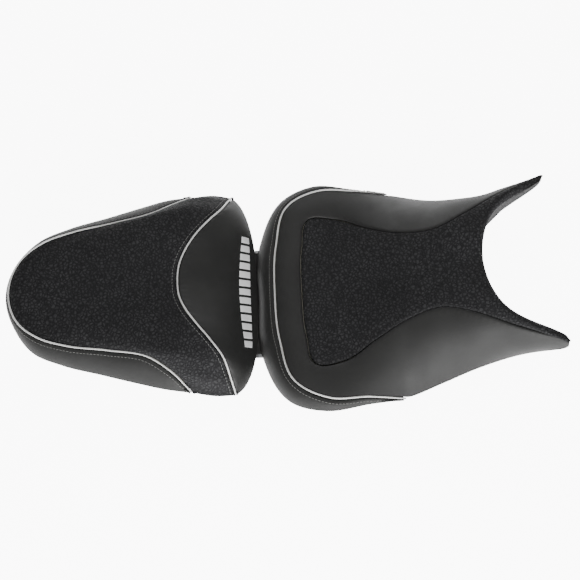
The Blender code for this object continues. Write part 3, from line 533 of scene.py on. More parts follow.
def bump(tree, height, distance, shader, strength=1.0, under=None):
    node = tree.nodes.new("ShaderNodeBump")
    node.inputs["Distance"].default_value = distance
    node.inputs["Strength"].default_value = strength
    tree.links.new(height, node.inputs["Height"])
    if under is not None:
        tree.links.new(under, node.inputs["Normal"])
    if shader is not None:
        tree.links.new(node.outputs["Normal"], shader.inputs["Normal"])
    return node.outputs["Normal"]


def grip_vinyl():
    """Almost black vinyl, embossed with irregular pebbles; the creases between them are painted darker as
    painted shade, so that the tops look lighter.
    """
    made, tree, shader, where = finish_of("grip_vinyl")
    coarse = place_group(tree, GRAIN, where, Pebble=0.0042, Warp=0.9)
    fine = place_group(tree, GRAIN, where, Pebble=0.0013, Warp=0.6)
    broad = place_group(tree, MOTTLE, where, Size=0.05, Low=0.0, High=1.0)
    shade = blend_colours(tree, broad.outputs["Value"], (0.024, 0.024, 0.0255), (0.038, 0.038, 0.040),
                          None)
    # painted shade: the creases between the coarse pebbles are darkened in the base colour, on top of the
    # bump
    blend_colours(tree, coarse.outputs["Crease"], shade, (0.008, 0.008, 0.0088),
                  shader.inputs["Base Color"])
    vary_gloss(tree, shader, where, 0.004, 0.60, 0.80)
    low = bump(tree, fine.outputs["Height"], 0.00012, None)
    shader.inputs["Specular IOR Level"].default_value = 0.25
    bump(tree, coarse.outputs["Height"], 0.00055, shader, 0.9, low)
    return made


GRIP = grip_vinyl()


def dress(obj, finish, body, slot, *nodes):
    """Gives a finished piece its material and its body, and hides the CAD nodes that it stands for. The
    slot argument is not used.
    """
    obj.data.materials.clear()
    obj.data.materials.append(finish)
    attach(obj, body)
    if nodes:
        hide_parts(*nodes)


dress(rider_grip, GRIP, "rider_seat", "grip_vinyl", "rider_insert_panel")

# ---------------------------------------------------------------- rider pad: smooth side cover
# One piece of smooth vinyl runs round the grip panel from horn to horn. It is sewn to the grip panel and
# to the piping at the rear; from the kink forwards it is pulled over the rim and stapled below the pan.
PIPE_GAP = 0.0010


def rider_outer(q):
    return RIDER["pipe"](q) if q < KINK else RIDER["rim"](q)


def rider_flank(q, s):
    along = RIDER["seam"].way(q) + RIDER["rim"].way(q)
    height = (2.5 + 7 * ease(q, 3.5, 6.5)) * (1 - ease(q, TIP - 1, TIP)) * MM
    return between(RIDER["seam"](q), rider_outer(q), along, s, height)


def horn_end(s, j):
    """The end face of a horn, from the outer side (j = 0) round to the wall (j = 1)."""
    wall = RIDER["notch"](2) + (RIDER["foot"](2) - RIDER["notch"](2)) * s
    return rider_flank(TIP, s) + (wall - rider_flank(TIP, s)) * j


def flank_rows(stations):
    rows = []
    for q in stations:
        width = np.linalg.norm(RIDER["seam"](q) - rider_outer(q))
        gap = PIPE_GAP * (1 - ease(q, KINK - 0.05, KINK + 0.2))
        rows.append([rider_flank(q, s) for s in across(width, SEAM_GAP, gap, 16)])
    return np.array(rows)


flank_stations = span(0, CORNER, 40) + span(CORNER, TIP, 130)[1:]
flank_points = sewn(flank_rows(flank_stations), RIDER_HEART, (True, False))
normals = grid_normals(flank_points, RIDER_HEART)
lower = []
for q, row, normal in zip(flank_stations, flank_points, normals):
    over_rim = ease(q, KINK - 0.06, KINK + 0.12)
    edge = row[-1] - normal[-1] * SEAM_DIP * 0.5 * (1 - over_rim)
    row[-1] = edge
    lower.append([(edge - normal[-1] * (TUCK * share)) * (1 - over_rim) + rider_hem(q, h) * over_rim
                  for share, h in zip((0.4, 0.8, 1.0), HEM_STEPS)])
flank_points = np.concatenate([flank_points, np.array(lower)], axis=1)
# the last row turns round the end of the horn to the wall
end_shares = np.linspace(0, 1, flank_points.shape[1] - 1 - len(HEM_STEPS))
end_rows = []
for j in (0.12, 0.35, 0.65, 0.88, 1.0):
    face = [horn_end(s, j) for s in end_shares]
    out = np.array([2.2 * math.sin(math.pi * j) * MM, 0, 0])
    hem = [rider_floor(TIP, 1 - j * 0.9 - (0.45 - j * 0.45) * h / HEM_STEPS[-1]) for h in HEM_STEPS]
    end_rows.append([face[0] + out, *[point + out for point in face], *hem])
flank_points = np.concatenate([flank_points, np.array(end_rows)], axis=0)
rider_side, _ = make_sheet("rider_smooth_cover", [flank_points], RIDER_HEART)


def smooth_vinyl():
    """Charcoal upholstery vinyl: a fine leather grain, a soft sheen and slow changes of gloss."""
    made, tree, shader, where = finish_of("smooth_vinyl")
    grain = place_group(tree, GRAIN, where, Pebble=0.0011, Warp=0.8)
    vary_colour(tree, shader, where, 0.08, (0.013, 0.013, 0.0127), (0.020, 0.020, 0.0193))
    vary_gloss(tree, shader, where, 0.03, 0.48, 0.58)
    shader.inputs["Specular IOR Level"].default_value = 0.35
    bump(tree, grain.outputs["Height"], 0.00007, shader, 0.8)
    return made


VINYL = smooth_vinyl()
dress(rider_side, VINYL, "rider_seat", "smooth_vinyl", "rider_side_cover")

# ---------------------------------------------------------------- rider pad: rear band
# A low strip of the same smooth vinyl stands behind and beside the piping, and narrows to nothing at the
# kink. Its lower edge is pulled round the rim and stapled below the pan.


def rider_band(q, s):
    a, b = RIDER["pipe"](q), RIDER["rim"](q)
    return between(a, b, RIDER["rim"].way(q), s, 0.16 * np.linalg.norm(b - a))


def banded(rows, stations, hem, heart):
    """A strip sewn to piping along its first edge, with its other edge hemmed below the pan."""
    points = sewn(np.array(rows), heart, (True, False))
    under = [[hem(q, h) for h in HEM_STEPS] for q in stations]
    return np.concatenate([points, np.array(under)], axis=1)


band_stations = span(0, KINK - 0.1, 100)
band_rows = []
for q in band_stations:
    width = np.linalg.norm(RIDER["pipe"](q) - RIDER["rim"](q))
    band_rows.append([rider_band(q, s) for s in across(width, min(PIPE_GAP, width * 0.3), 0, 9)])
rider_back, rider_back_tree = make_sheet("rider_rear_strip",
                                         [banded(band_rows, band_stations, rider_hem, RIDER_HEART)],
                                         RIDER_HEART, cap=0.0012)
dress(rider_back, VINYL, "rider_seat", "smooth_vinyl", "rider_rear_band")

# ---------------------------------------------------------------- pillion pad: grip top
# The passenger sits on a second grip panel. It runs over the whole pad from the tail piping to the front
# piping, and between their ends it goes over the sides and is stapled below the pan.
PILLION_SIZE = (0.309, 0.138, 0.092)
PILLION_DRAWN = (309, 138, 92)
SEAT_GAP = 0.001
TUB_DEPTH = 0.022
LAST = 7


def pillion_point(point):
    """Drawn millimetres (behind the joint between the pads, from the middle plane, up) to metres."""
    x, y, z = (value / drawn * size for value, drawn, size in zip(point, PILLION_DRAWN, PILLION_SIZE))
    return np.array([JOINT_X - SEAT_GAP - x, y, z])


PILLION = {
    "tail_pipe": Curve([(302, 0, 74), (289, 42, 74), (264, 63, 75), (228, 76, 76), (178, 85, 79),
                        (128, 97, 80), (106, 111, 73), (80, 134, 53)], pillion_point, True),
    "front_pipe": Curve([(96, 0, 84), (94, 20, 86), (86, 40, 89), (73, 60, 91), (57, 80, 88),
                         (42, 100, 78), (35, 118, 62), (29, 136, 44)], pillion_point, True),
    "tail_rim": Curve([(309, 0, 58), (297, 43, 55), (273, 75, 53), (238, 92, 53), (188, 107, 53),
                       (148, 119, 54), (112, 129, 55), (80, 134, 53)], pillion_point, True),
    "side_rim": Curve([(80, 134, 53), (52, 138, 49), (29, 136, 44)], pillion_point),
    "front_rim": Curve([(0, 0, 27), (0, 28, 27), (1, 54, 28), (3, 76, 30), (7, 96, 33), (12, 112, 37),
                        (20, 127, 41), (29, 136, 44)], pillion_point, True),
}
PILLION_HEART = np.array([JOINT_X - 0.137, 0.0, -0.02])


def pillion_centre(v, u):
    a, b = PILLION["tail_pipe"](v), PILLION["front_pipe"](v)
    along = PILLION["tail_pipe"].way(v) + PILLION["front_pipe"].way(v)
    if v == 0:
        along = np.array([0.0, 1.0, 0.0])
    rim_flat = PILLION["tail_pipe"](LAST) + (PILLION["front_pipe"](LAST) - PILLION["tail_pipe"](LAST)) * u
    near_rim = max((v - LAST + 2) / 2, 0) ** 2
    height = (5 + 3 * ease(v, 3, 5)) * (1 - ease(v, LAST - 1, LAST)) * MM
    return between(a, b, along, u, height) + (PILLION["side_rim"](2 * u) - rim_flat) * near_rim


def pillion_hem(rim, share, h):
    """The floor of the pad, a distance inwards from a point of its rim."""
    length = PILLION_SIZE[0]
    middle_x = JOINT_X - SEAT_GAP - length * (1 - share)
    spoke = np.array([middle_x - rim[0], -rim[1]])
    to_centre = np.array([JOINT_X - SEAT_GAP - length / 2 - rim[0], -rim[1]])
    reach = np.linalg.norm(spoke)
    short = 1 - ease(reach, 0.02, 0.06)
    x, y = rim[:2] + unit(unit(spoke) * (1 - short) + unit(to_centre) * short) * h
    tail = (JOINT_X - SEAT_GAP - x) / length
    tub = ease(tail, 0.0, 0.2) * (1 - ease(tail, 0.80, 0.985))
    drop = (TUB_DEPTH - rim[2]) * tub * (1 - ease(1 - h / max(reach, 0.05), 0.45, 0.9))
    return np.array([x, y, rim[2] + drop])


# the rim is shared out in this order: half of the tail, the side, half of the front
TAIL_PART, SIDE_PART = 14 / 34, 6 / 34


def tail_hem(v, h):
    return pillion_hem(PILLION["tail_rim"](v), v / LAST * TAIL_PART, h)


def side_hem(u, h):
    return pillion_hem(PILLION["side_rim"](2 * u), TAIL_PART + SIDE_PART * u, h)


def front_hem(v, h):
    return pillion_hem(PILLION["front_rim"](v), 1 - v / LAST * TAIL_PART, h)


centre_stations = span(0, LAST, 90)
centre_rows, centre_shares = [], []
for v in centre_stations:
    width = np.linalg.norm(PILLION["tail_pipe"](v) - PILLION["front_pipe"](v))
    centre_shares.append(across(width, PIPE_GAP, PIPE_GAP, 40))
    centre_rows.append([pillion_centre(v, u) for u in centre_shares[-1]])
centre_points = sewn(np.array(centre_rows), PILLION_HEART, (True, True))
under_shares = [centre_shares[-1][0], *centre_shares[-1], centre_shares[-1][-1]]
under_rows = np.array([[side_hem(u, h) for u in under_shares] for h in HEM_STEPS])
pillion_top, pillion_top_tree = make_sheet("pillion_grip_cover",
                                           [np.concatenate([centre_points, under_rows], axis=0)],
                                           PILLION_HEART)
dress(pillion_top, GRIP, "pillion_seat", "grip_vinyl", "pillion_centre_panel")

# ---------------------------------------------------------------- pillion pad: tail strip and front slope
# Two pieces of smooth vinyl finish the pillion pad: a low strip round the tail outside the piping, and a
# slope that falls from the front piping to the rider pad. Both are hemmed below the pan.


def pillion_band(v, s):
    a, b = PILLION["tail_pipe"](v), PILLION["tail_rim"](v)
    return between(a, b, PILLION["tail_rim"].way(v), s, 0.12 * np.linalg.norm(b - a))


def pillion_front(v, s):
    a, b = PILLION["front_pipe"](v), PILLION["front_rim"](v)
    return between(a, b, PILLION["front_rim"].way(v), s, 0.10 * np.linalg.norm(b - a))


wall_stations = span(0, LAST - 0.1, 90)


def wall_grid(surface, count, hem):
    rows = []
    for v in wall_stations:
        width = np.linalg.norm(surface(v, 0) - surface(v, 1))
        rows.append([surface(v, s) for s in across(width, min(PIPE_GAP, width * 0.3), 0, count)])
    return banded(rows, wall_stations, hem, PILLION_HEART)


pillion_tail, pillion_tail_tree = make_sheet("pillion_tail_strip", [wall_grid(pillion_band, 9, tail_hem)],
                                             PILLION_HEART, cap=0.0012)
dress(pillion_tail, VINYL, "pillion_seat", "smooth_vinyl", "pillion_tail_band")
pillion_slope, pillion_slope_tree = make_sheet("pillion_front_slope",
                                               [wall_grid(pillion_front, 18, front_hem)],
                                               PILLION_HEART, cap=0.0016)
dress(pillion_slope, VINYL, "pillion_seat", "smooth_vinyl", "pillion_front_panel")

# ---------------------------------------------------------------- piping
# Silver vinyl is folded round a cord and sewn into the seams beside the strips. The bead stands a little
# proud, is pinched slightly by each stitch, and dives under the rim at both ends.
PIPE_RADIUS = 0.0011
PIPE_LIFT = 0.0006
PIPE_SIDES = 14
STITCH_PITCH = 0.0042


def even_line(points, pitch):
    """Points at an even pitch along a line, with the way it runs at each."""
    points = np.array(points)
    run = np.concatenate([[0], np.cumsum(np.linalg.norm(np.diff(points, axis=0), axis=1))])
    count = max(int(run[-1] / pitch), 2)
    at = np.linspace(0, run[-1], count + 1)
    even = np.stack([np.interp(at, run, points[:, axis]) for axis in range(3)], axis=1)
    ways = np.gradient(even, axis=0)
    return even, ways / np.linalg.norm(ways, axis=1, keepdims=True)


def both_sides(half):
    half = [np.array(point) for point in half]
    half[0][1] = 0.0
    return [point * np.array([1, -1, 1]) for point in reversed(half[1:])] + half


def bead(name, line, heart):
    """The round bead of the piping along a line, closed at its ends."""
    points, ways = even_line(line, STITCH_PITCH / 4)
    bm = bmesh.new()
    rings = []
    for index, (point, way) in enumerate(zip(points, ways)):
        pinch = 1 - 0.05 * (index % 4 == 0)
        out = unit(point - heart)
        side = unit(np.cross(way, out))
        out = np.cross(side, way)
        turn = [math.tau * k / PIPE_SIDES for k in range(PIPE_SIDES)]
        rings.append([bm.verts.new(point + (side * math.cos(a) + out * math.sin(a)) * PIPE_RADIUS * pinch)
                      for a in turn])
    add_tube(bm, rings)
    obj = add_piece(name, bm)
    obj.data.shade_smooth()
    return obj


def bead_line(curve, surface, stations, heart):
    """The left half of a bead's middle line, lifted off the seam and ending below the rim."""
    line = []
    for q in stations:
        out = np.cross(curve.way(q), surface(q, 1.0) - surface(q, 0.9))
        out = unit(out if np.dot(out, curve(q) - heart) > 0 else -out)
        line.append(curve(q) + out * PIPE_LIFT)
    return line


def silver_vinyl():
    """Satin silver vinyl with a faint weave showing through and duller patches."""
    made, tree, shader, where = finish_of("silver_piping", 0.35)
    weave = place_group(tree, GRAIN, where, Pebble=0.0006, Warp=0.3)
    vary_colour(tree, shader, where, 0.02, (0.66, 0.66, 0.65), (0.80, 0.80, 0.78))
    vary_gloss(tree, shader, where, 0.01, 0.30, 0.42)
    bump(tree, weave.outputs["Height"], 0.00004, shader, 0.6)
    return made


SILVER = silver_vinyl()
rider_line = bead_line(RIDER["pipe"], rider_flank, span(0, KINK - 0.04, 120), RIDER_HEART)
tail_line, front_line = [
    bead_line(PILLION[edge], lambda v, s: surface(v, 1 - s), span(0, LAST - 0.06, 120), PILLION_HEART)
    for edge, surface in (("tail_pipe", pillion_band), ("front_pipe", pillion_front))]
for name, half, body, node, heart in (
        ("rider_piping_bead", rider_line, "rider_seat", "rider_piping", RIDER_HEART),
        ("pillion_tail_bead", tail_line, "pillion_seat", "pillion_tail_piping", PILLION_HEART),
        ("pillion_front_bead", front_line, "pillion_seat", "pillion_front_piping", PILLION_HEART)):
    dress(bead(name, both_sides(half), heart), SILVER, body, "piping", node)

# ---------------------------------------------------------------- topstitching
# A single row of grey bonded thread holds the seam allowance flat, about 6 mm from the piping: on the
# strips outside the rider's and the tail's piping, and on the grip side of the front piping.
STITCH_LENGTH = 0.0031
THREAD_RADIUS = 0.00038
ROW_OFFSET = 0.0062


def taken_apart(obj):
    """The points and faces of an object, which is removed."""
    points = [vert.co.copy() for vert in obj.data.vertices]
    faces = [list(face.vertices) for face in obj.data.polygons]
    bpy.data.objects.remove(obj, do_unlink=True)
    return points, faces


def one_stitch():
    """A short thread with round ends, modelled once along X."""
    bpy.ops.mesh.primitive_uv_sphere_add(segments=6, ring_count=6, radius=THREAD_RADIUS, location=(0, 0, 0))
    obj = bpy.context.object
    bpy.ops.object.mode_set(mode="EDIT")
    bpy.ops.transform.rotate(value=math.pi / 2, orient_axis="Y", center_override=(0, 0, 0))
    bpy.ops.object.mode_set(mode="OBJECT")
    for vert in obj.data.vertices:
        if abs(vert.co.x) > THREAD_RADIUS * 0.2:
            vert.co.x += math.copysign(STITCH_LENGTH / 2 - THREAD_RADIUS, vert.co.x)
            vert.co.z -= THREAD_RADIUS * 0.8
    return taken_apart(obj)


def copies(name, shape, places):
    """One object that holds a copy of a small shape at each place (a 4 by 4 matrix)."""
    points, faces = shape
    all_points = [place @ point for place in places for point in points]
    all_faces = [[index + step * len(points) for index in face] for step in range(len(places))
                 for face in faces]
    mesh = bpy.data.meshes.new(name)
    mesh.from_pydata(all_points, [], all_faces)
    mesh.shade_smooth()
    return add_piece(name, mesh)


def set_at(point, way, out):
    """A place with X along a line and Z out of the surface."""
    x = Vector(way).normalized()
    y = Vector(out).cross(x).normalized()
    z = x.cross(y)
    place = Matrix((x, y, z)).transposed().to_4x4()
    place.translation = Vector(point)
    return place


def on_face(point, tree, heart):
    """The nearest place on a panel's outer face, and the way out of it."""
    spot, out, _, _ = tree.find_nearest(Vector(point))
    return spot, out if out.dot(spot - Vector(heart)) >= 0 else -out


def stitch_row(name, line, tree, heart, body):
    points, ways = even_line(line, STITCH_PITCH)
    places = []
    for point, way in zip(points, ways):
        spot, out = on_face(point, tree, heart)
        places.append(set_at(spot + out * THREAD_RADIUS * 0.5, way, out))
    dress(copies(name, STITCH, places), THREAD, body, "smooth_vinyl")


def grey_thread():
    """Bonded polyester thread, twisted, slightly shiny."""
    made, tree, shader, where = finish_of("grey_thread")
    twist = tree.nodes.new("ShaderNodeTexWave")
    twist.inputs["Scale"].default_value = 900.0
    twist.inputs["Distortion"].default_value = 1.0
    tree.links.new(where, twist.inputs["Vector"])
    blend_colours(tree, twist.outputs["Fac"], (0.10, 0.10, 0.10), (0.23, 0.23, 0.22),
                  shader.inputs["Base Color"])
    vary_gloss(tree, shader, where, 0.01, 0.5, 0.65)
    bump(tree, twist.outputs["Fac"], 0.00006, shader, 0.7)
    return made


def offset_line(surface, start, stations):
    """A line on a surface at the row's distance from its sewn edge."""
    line = []
    for q in stations:
        edge, far = surface(q, start), surface(q, 1 - start)
        share = min(ROW_OFFSET / np.linalg.norm(far - edge), 0.5)
        line.append(surface(q, share if start == 0 else 1 - share))
    return line


STITCH = one_stitch()
THREAD = grey_thread()
for name, surface, start, end, tree, heart, body in (
        ("rider_band_stitching", rider_band, 0, KINK - 0.35, rider_back_tree, RIDER_HEART, "rider_seat"),
        ("pillion_tail_stitching", pillion_band, 0, LAST - 0.4, pillion_tail_tree, PILLION_HEART,
         "pillion_seat"),
        ("pillion_front_stitching", pillion_centre, 1, LAST - 0.15, pillion_top_tree, PILLION_HEART,
         "pillion_seat")):
    stitch_row(name, both_sides(offset_line(surface, start, span(0, end, 120))), tree, heart, body)

# ---------------------------------------------------------------- trim bars
# Plain slanted silver bars are pressed onto the pillion's front slope, in one row across it.
BAR_COUNT = 13
BAR_PITCH = 0.0119
BAR_LENGTH = 0.0086
BAR_THICK = 0.0005
BAR_CLEAR = 0.00015
BAR_LOW, BAR_HIGH = 0.72, 0.88
BAR_SLANT = 0.0035


def slope_station(y):
    """Where along the slope's rows a distance from the middle plane lies."""
    table = [(pillion_front(v, (BAR_LOW + BAR_HIGH) / 2)[1], v) for v in span(0, LAST, 60)]
    return float(np.interp(y, [row[0] for row in table], [row[1] for row in table]))


def bar(index):
    """A grid of points over the slope, as a flat bar with its ends slanted."""
    start = (index - BAR_COUNT / 2) * BAR_PITCH + (BAR_PITCH - BAR_LENGTH) / 2
    rows = []
    for across_share in span(0, 1, 6):
        row = []
        for down_share in span(0, 1, 5):
            y = start + BAR_LENGTH * across_share + BAR_SLANT * (down_share - 0.5)
            point = pillion_front(slope_station(abs(y)), BAR_LOW + (BAR_HIGH - BAR_LOW) * down_share)
            point[1] = y
            spot, out = on_face(point, pillion_slope_tree, PILLION_HEART)
            row.append(spot + out * BAR_CLEAR)
        rows.append(row)
    return rows


def trim_bars():
    bm = bmesh.new()
    for index in range(BAR_COUNT):
        add_grid(bm, [[bm.verts.new(point) for point in row] for row in bar(index)])
    bmesh.ops.recalc_face_normals(bm, faces=bm.faces)
    for face in bm.faces:
        if face.normal.dot(face.calc_center_median() - Vector(PILLION_HEART)) < 0:
            face.normal_flip()
    obj = add_piece("pillion_trim_bars", bm)
    shaped_by(obj, "SOLIDIFY", thickness=BAR_THICK, offset=1.0)
    shaped_by(obj, "BEVEL", width=BAR_THICK * 0.4, segments=2, limit_method="ANGLE")
    obj.data.shade_smooth()
    return obj


def silver_print():
    made, tree, shader, where = finish_of("silver_print", 0.1)
    vary_colour(tree, shader, where, 0.01, (0.84, 0.84, 0.85), (0.92, 0.92, 0.92))
    vary_gloss(tree, shader, where, 0.006, 0.32, 0.45)
    return made


dress(trim_bars(), silver_print(), "pillion_seat", "silver_trim", "pillion_emblem")

# ---------------------------------------------------------------- staples
# Steel staples hold each hem to the pan, every 16 mm round both pads.
STAPLE_LENGTH = 0.010
STAPLE_WIRE = 0.0009
STAPLE_PITCH = 0.016
STAPLE_IN = 0.0055


def one_staple():
    """The crown of a staple with its ends bent in, modelled once along X."""
    bpy.ops.mesh.primitive_cube_add(size=1, location=(0, 0, 0))
    obj = bpy.context.object
    bpy.ops.object.mode_set(mode="EDIT")
    bpy.ops.transform.resize(value=(STAPLE_LENGTH, STAPLE_WIRE, STAPLE_WIRE * 0.6),
                             center_override=(0, 0, 0))
    bpy.ops.mesh.bevel(offset=STAPLE_WIRE * 0.2, segments=1)
    bpy.ops.object.mode_set(mode="OBJECT")
    for vert in obj.data.vertices:
        if abs(vert.co.x) > STAPLE_LENGTH * 0.45:
            vert.co.z -= STAPLE_WIRE * 0.4
    return taken_apart(obj)


def staples(name, lines, clear_of, body):
    places = []
    for line in lines:
        points, ways = even_line(line, STAPLE_PITCH)
        for point, way in list(zip(points, ways))[1:-1]:
            if all(not inside(point, box) for box in clear_of):
                places.append(set_at(point + np.array([0, 0, -STAPLE_WIRE * 0.2]), way, (0, 0, -1)))
    dress(copies(name, STAPLE, places), STEEL, body, "zinc_steel")


def inside(point, box, margin=0.006):
    low, high = box
    return all(low[axis] - margin < point[axis] < high[axis] + margin for axis in (0, 1))


def zinc_steel():
    """Zinc-plated steel: a bright base with cloudy crystals and dull patches."""
    made, tree, shader, where = finish_of("zinc_steel", 1.0)
    crystals = place_group(tree, GRAIN, where, Pebble=0.003, Warp=1.2)
    clouds = place_group(tree, MOTTLE, where, Size=0.004, Low=0.0, High=1.0)
    shade = blend_colours(tree, clouds.outputs["Value"], (0.50, 0.51, 0.52), (0.68, 0.68, 0.67), None)
    blend_colours(tree, crystals.outputs["Crease"], shade, (0.42, 0.43, 0.44),
                  shader.inputs["Base Color"])
    vary_gloss(tree, shader, where, 0.002, 0.26, 0.44)
    bump(tree, clouds.outputs["Value"], 0.00003, shader, 0.5)
    return made


STEEL = zinc_steel()
STAPLE = one_staple()
fittings = {body: [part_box(node) for node in frame["record"]["behaviour"]["bodies"][body]
                   if any(word in node for word in ("bumper", "lug_left", "lug_right", "tongue", "hook",
                                                    "striker"))]
            for body in ("rider_seat", "pillion_seat")}
rider_rim = [rider_hem(q, STAPLE_IN) for q in span(0, TIP - 0.5, 160)]
staples("rider_staples", [both_sides(rider_rim)], fittings["rider_seat"], "rider_seat")
pillion_rim = ([tail_hem(v, STAPLE_IN) for v in span(0, LAST, 80)]
               + [side_hem(u, STAPLE_IN) for u in span(0, 1, 30)][1:]
               + [front_hem(v, STAPLE_IN) for v in span(LAST, 0, 80)][1:])
pillion_right = [point * np.array([1, -1, 1]) for point in reversed(pillion_rim)]
staples("pillion_staples", [pillion_rim, pillion_right], fittings["pillion_seat"], "pillion_seat")

# ---------------------------------------------------------------- pans, ribs and fittings
# The pans are moulded in black plastic with stiffening ribs below. The feet and grommets are rubber, and
# the lugs, hooks, striker, rivets and screws are zinc-plated steel.
RIB_THICK = 0.0018
RIB_DEPTH = 0.005
RIB_STEP = 0.004
FLAP_THICK = 0.0016
FLAP_AHEAD, FLAP_BEHIND = 0.003, 0.0085
FLAP_END = 0.9


def moulded_plastic():
    """Black polypropylene with a fine spark texture."""
    made, tree, shader, where = finish_of("pan_plastic")
    spark = place_group(tree, GRAIN, where, Pebble=0.0007, Warp=1.0)
    vary_colour(tree, shader, where, 0.04, (0.014, 0.014, 0.015), (0.024, 0.024, 0.025))
    vary_gloss(tree, shader, where, 0.015, 0.42, 0.6)
    bump(tree, spark.outputs["Height"], 0.00005, shader, 0.6)
    return made


def black_rubber():
    made, tree, shader, where = finish_of("black_rubber")
    grain = place_group(tree, GRAIN, where, Pebble=0.0005, Warp=1.0)
    vary_colour(tree, shader, where, 0.008, (0.012, 0.012, 0.012), (0.034, 0.033, 0.032))
    vary_gloss(tree, shader, where, 0.01, 0.66, 0.85)
    bump(tree, grain.outputs["Height"], 0.00005, shader, 0.5)
    return made


def moulded_foam():
    made, tree, shader, where = finish_of("moulded_foam")
    cells_ = place_group(tree, GRAIN, where, Pebble=0.0009, Warp=1.0)
    vary_colour(tree, shader, where, 0.03, (0.26, 0.25, 0.21), (0.34, 0.33, 0.28))
    vary_gloss(tree, shader, where, 0.005, 0.85, 0.95)
    bump(tree, cells_.outputs["Crease"], 0.0003, shader, 0.8)
    return made


PLASTIC = moulded_plastic()
FINISHES = {"zinc_steel": STEEL, "pan_plastic": PLASTIC, "rubber": black_rubber(), "foam": moulded_foam()}
slot_of = {row["node"]: row["material_slot"] for row in frame["record"]["subparts"]}
for node, obj in frame["nodes"].items():
    if slot_of[node] in FINISHES:
        for slot in obj.material_slots:
            slot.material = FINISHES[slot_of[node]]


def joint_shade_flap():
    """A dark rubber strip below the rider pad's rear rim, under the joint with the pillion pad: painted
    shade that keeps the gap between the pads dark.
    """
    bm = bmesh.new()
    sections = []
    for rim in both_sides([RIDER["rim"](q) for q in span(0, FLAP_END, 30)]):
        x, y, z = rim
        sections.append([bm.verts.new((x + ahead, y, z - down)) for ahead, down in
                         ((FLAP_AHEAD, 0), (FLAP_AHEAD, FLAP_THICK), (-FLAP_BEHIND, FLAP_THICK),
                          (-FLAP_BEHIND, FLAP_THICK * 0.3), (-0.0005, 0))])
    add_tube(bm, sections)
    return add_piece("rider_joint_shade_flap", bm)


# painted shade: a dark rubber strip under the gap between the pads stands in for the shade in the joint
dress(joint_shade_flap(), FINISHES["rubber"], "rider_seat", "rubber")


def rib(bm, tree, start, end, clear_of):
    """A thin wall below the pan along a straight line, broken where a fitting is in its way."""
    length = math.dist(start, end)
    run = []
    for share in span(0, 1, int(length / RIB_STEP)):
        x, y = (a + (b - a) * share for a, b in zip(start, end))
        hit = tree.ray_cast(Vector((x, y, -0.05)), Vector((0, 0, 1)))[0]
        blocked = any(inside((x, y), box, 0.003) for box in clear_of)
        if hit is None or blocked:
            wall(bm, run, start, end)
            run = []
        else:
            run.append((x, y, hit.z))
    wall(bm, run, start, end)


def wall(bm, run, start, end):
    if len(run) < 4:
        return
    side = Vector((end[1] - start[1], start[0] - end[0], 0)).normalized() * RIB_THICK / 2
    sections = []
    last = len(run) - 1
    for index, (x, y, z) in enumerate(run):
        depth = RIB_DEPTH * ease(min(index, last - index), -0.5, 2.5)
        sections.append([bm.verts.new(Vector((x, y, level)) + side * sign)
                         for sign, level in ((-1, z + 0.0008), (1, z + 0.0008),
                                             (0.6, z - depth), (-0.6, z - depth))])
    add_tube(bm, sections)


def ribs(name, node, body, crossways, lengthways, reach):
    tree = face_tree(frame["nodes"][node])
    bm = bmesh.new()
    low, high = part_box(node)
    for x in crossways:
        rib(bm, tree, (x, -reach), (x, reach), fittings[body])
    for y in lengthways:
        rib(bm, tree, (low[0] + 0.02, y), (high[0] - 0.02, y), fittings[body])
    dress(add_piece(name, bm), PLASTIC, body, "pan_plastic")


ribs("rider_pan_ribs", "rider_base_pan", "rider_seat", (0.04, 0.075, 0.11, 0.145), (-0.05, 0.0, 0.05), 0.10)
ribs("pillion_pan_ribs", "pillion_base_pan", "pillion_seat", (-0.145, -0.18, -0.21),
     (-0.045, 0.0, 0.045), 0.065)

# ---------------------------------------------------------------- stage
# A plain pale floor, soft lights from both sides and above, and a camera high over the right side.
VIEW_TARGET = Vector((0.0164, 0.0, 0.045))
VIEW_TURN, VIEW_RISE = math.radians(-2.5), math.radians(65)
VIEW_DISTANCE = 1.3
VIEW_LENS = 64.55
FLOOR_SEEN, FLOOR_GLOW = 7.0, 2.0
ROOM_SEEN, ROOM_GLOW = 7.0, 0.15


def glow_when_seen(tree, seen, always, socket):
    """A glow that is stronger for the camera than as light on the seat."""
    camera_ray = tree.nodes.new("ShaderNodeLightPath").outputs["Is Camera Ray"]
    strength = math_node(tree, "ADD", math_node(tree, "MULTIPLY", camera_ray, seen), always)
    tree.links.new(strength, socket)


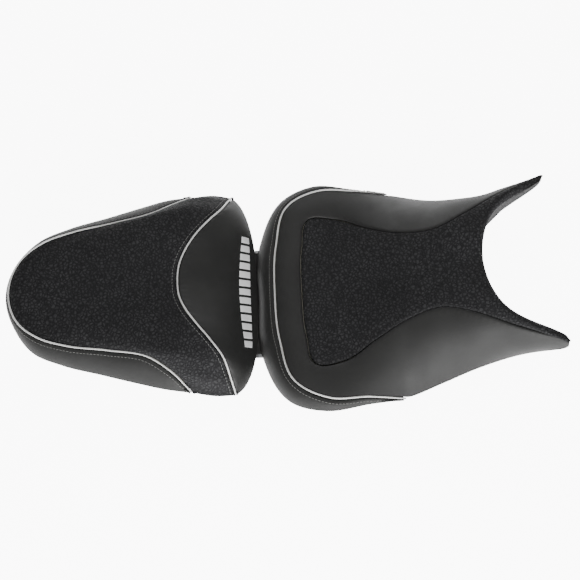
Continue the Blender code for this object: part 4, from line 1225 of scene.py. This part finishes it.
bpy.ops.mesh.primitive_plane_add(size=8, location=(0, 0, -0.0002))
floor = bpy.context.object
floor.name = "pale_floor"
floor_finish, floor_tree, floor_shader, floor_where = finish_of("pale_floor")
pale = place_group(floor_tree, MOTTLE, floor_where, Size=0.5, Low=0.0, High=1.0)
blend_colours(floor_tree, pale.outputs["Value"], (0.90, 0.90, 0.90), (0.93, 0.93, 0.93),
              floor_shader.inputs["Base Color"])
floor_shader.inputs["Roughness"].default_value = 0.9
floor_shader.inputs["Specular IOR Level"].default_value = 0.1
floor_shader.inputs["Emission Color"].default_value = (1.0, 1.0, 1.0, 1.0)
glow_when_seen(floor_tree, FLOOR_SEEN, FLOOR_GLOW, floor_shader.inputs["Emission Strength"])
underside = floor_tree.nodes.new("ShaderNodeNewGeometry").outputs["Backfacing"]
see_through = floor_tree.nodes.new("ShaderNodeMixShader")
clear = floor_tree.nodes.new("ShaderNodeBsdfTransparent").outputs["BSDF"]
floor_tree.links.new(underside, see_through.inputs["Fac"])
floor_tree.links.new(floor_shader.outputs["BSDF"], see_through.inputs[1])
floor_tree.links.new(clear, see_through.inputs[2])
floor_tree.links.new(see_through.outputs["Shader"], floor_tree.nodes["Material Output"].inputs["Surface"])
floor.data.materials.append(floor_finish)


def soft_light(name, place, size, watts):
    bpy.ops.object.light_add(type="AREA", location=place)
    lamp = bpy.context.object
    lamp.name = name
    lamp.data.shape = "RECTANGLE"
    lamp.data.size, lamp.data.size_y = size
    lamp.data.energy = watts
    lamp.rotation_euler = (Vector((0, 0, 0.05)) - Vector(place)).to_track_quat("-Z", "Y").to_euler()


soft_light("near_side", (0.2, -1.6, 0.7), (1.8, 0.9), 54)
soft_light("far_side", (0.1, 1.5, 0.9), (1.8, 0.9), 14)
soft_light("overhead", (-0.2, 0.0, 2.4), (1.6, 1.6), 8)
world = bpy.data.worlds.new("soft_room")
world.use_nodes = True
background = world.node_tree.nodes["Background"]
background.inputs["Color"].default_value = (1.0, 1.0, 1.0, 1.0)
glow_when_seen(world.node_tree, ROOM_SEEN, ROOM_GLOW, background.inputs["Strength"])
bpy.context.scene.world = world

camera_data = bpy.data.cameras.new("camera")
camera_data.lens = VIEW_LENS
camera_data.sensor_width = 36
camera = bpy.data.objects.new("camera", camera_data)
bpy.context.scene.collection.objects.link(camera)
right = Vector((math.cos(VIEW_TURN), math.sin(VIEW_TURN), 0))
back = Vector((math.sin(VIEW_TURN) * math.cos(VIEW_RISE), -math.cos(VIEW_TURN) * math.cos(VIEW_RISE),
               math.sin(VIEW_RISE)))
camera.matrix_world = Matrix((right, back.cross(right), back)).transposed().to_4x4()
camera.location = VIEW_TARGET + back * VIEW_DISTANCE
bpy.context.scene.camera = camera
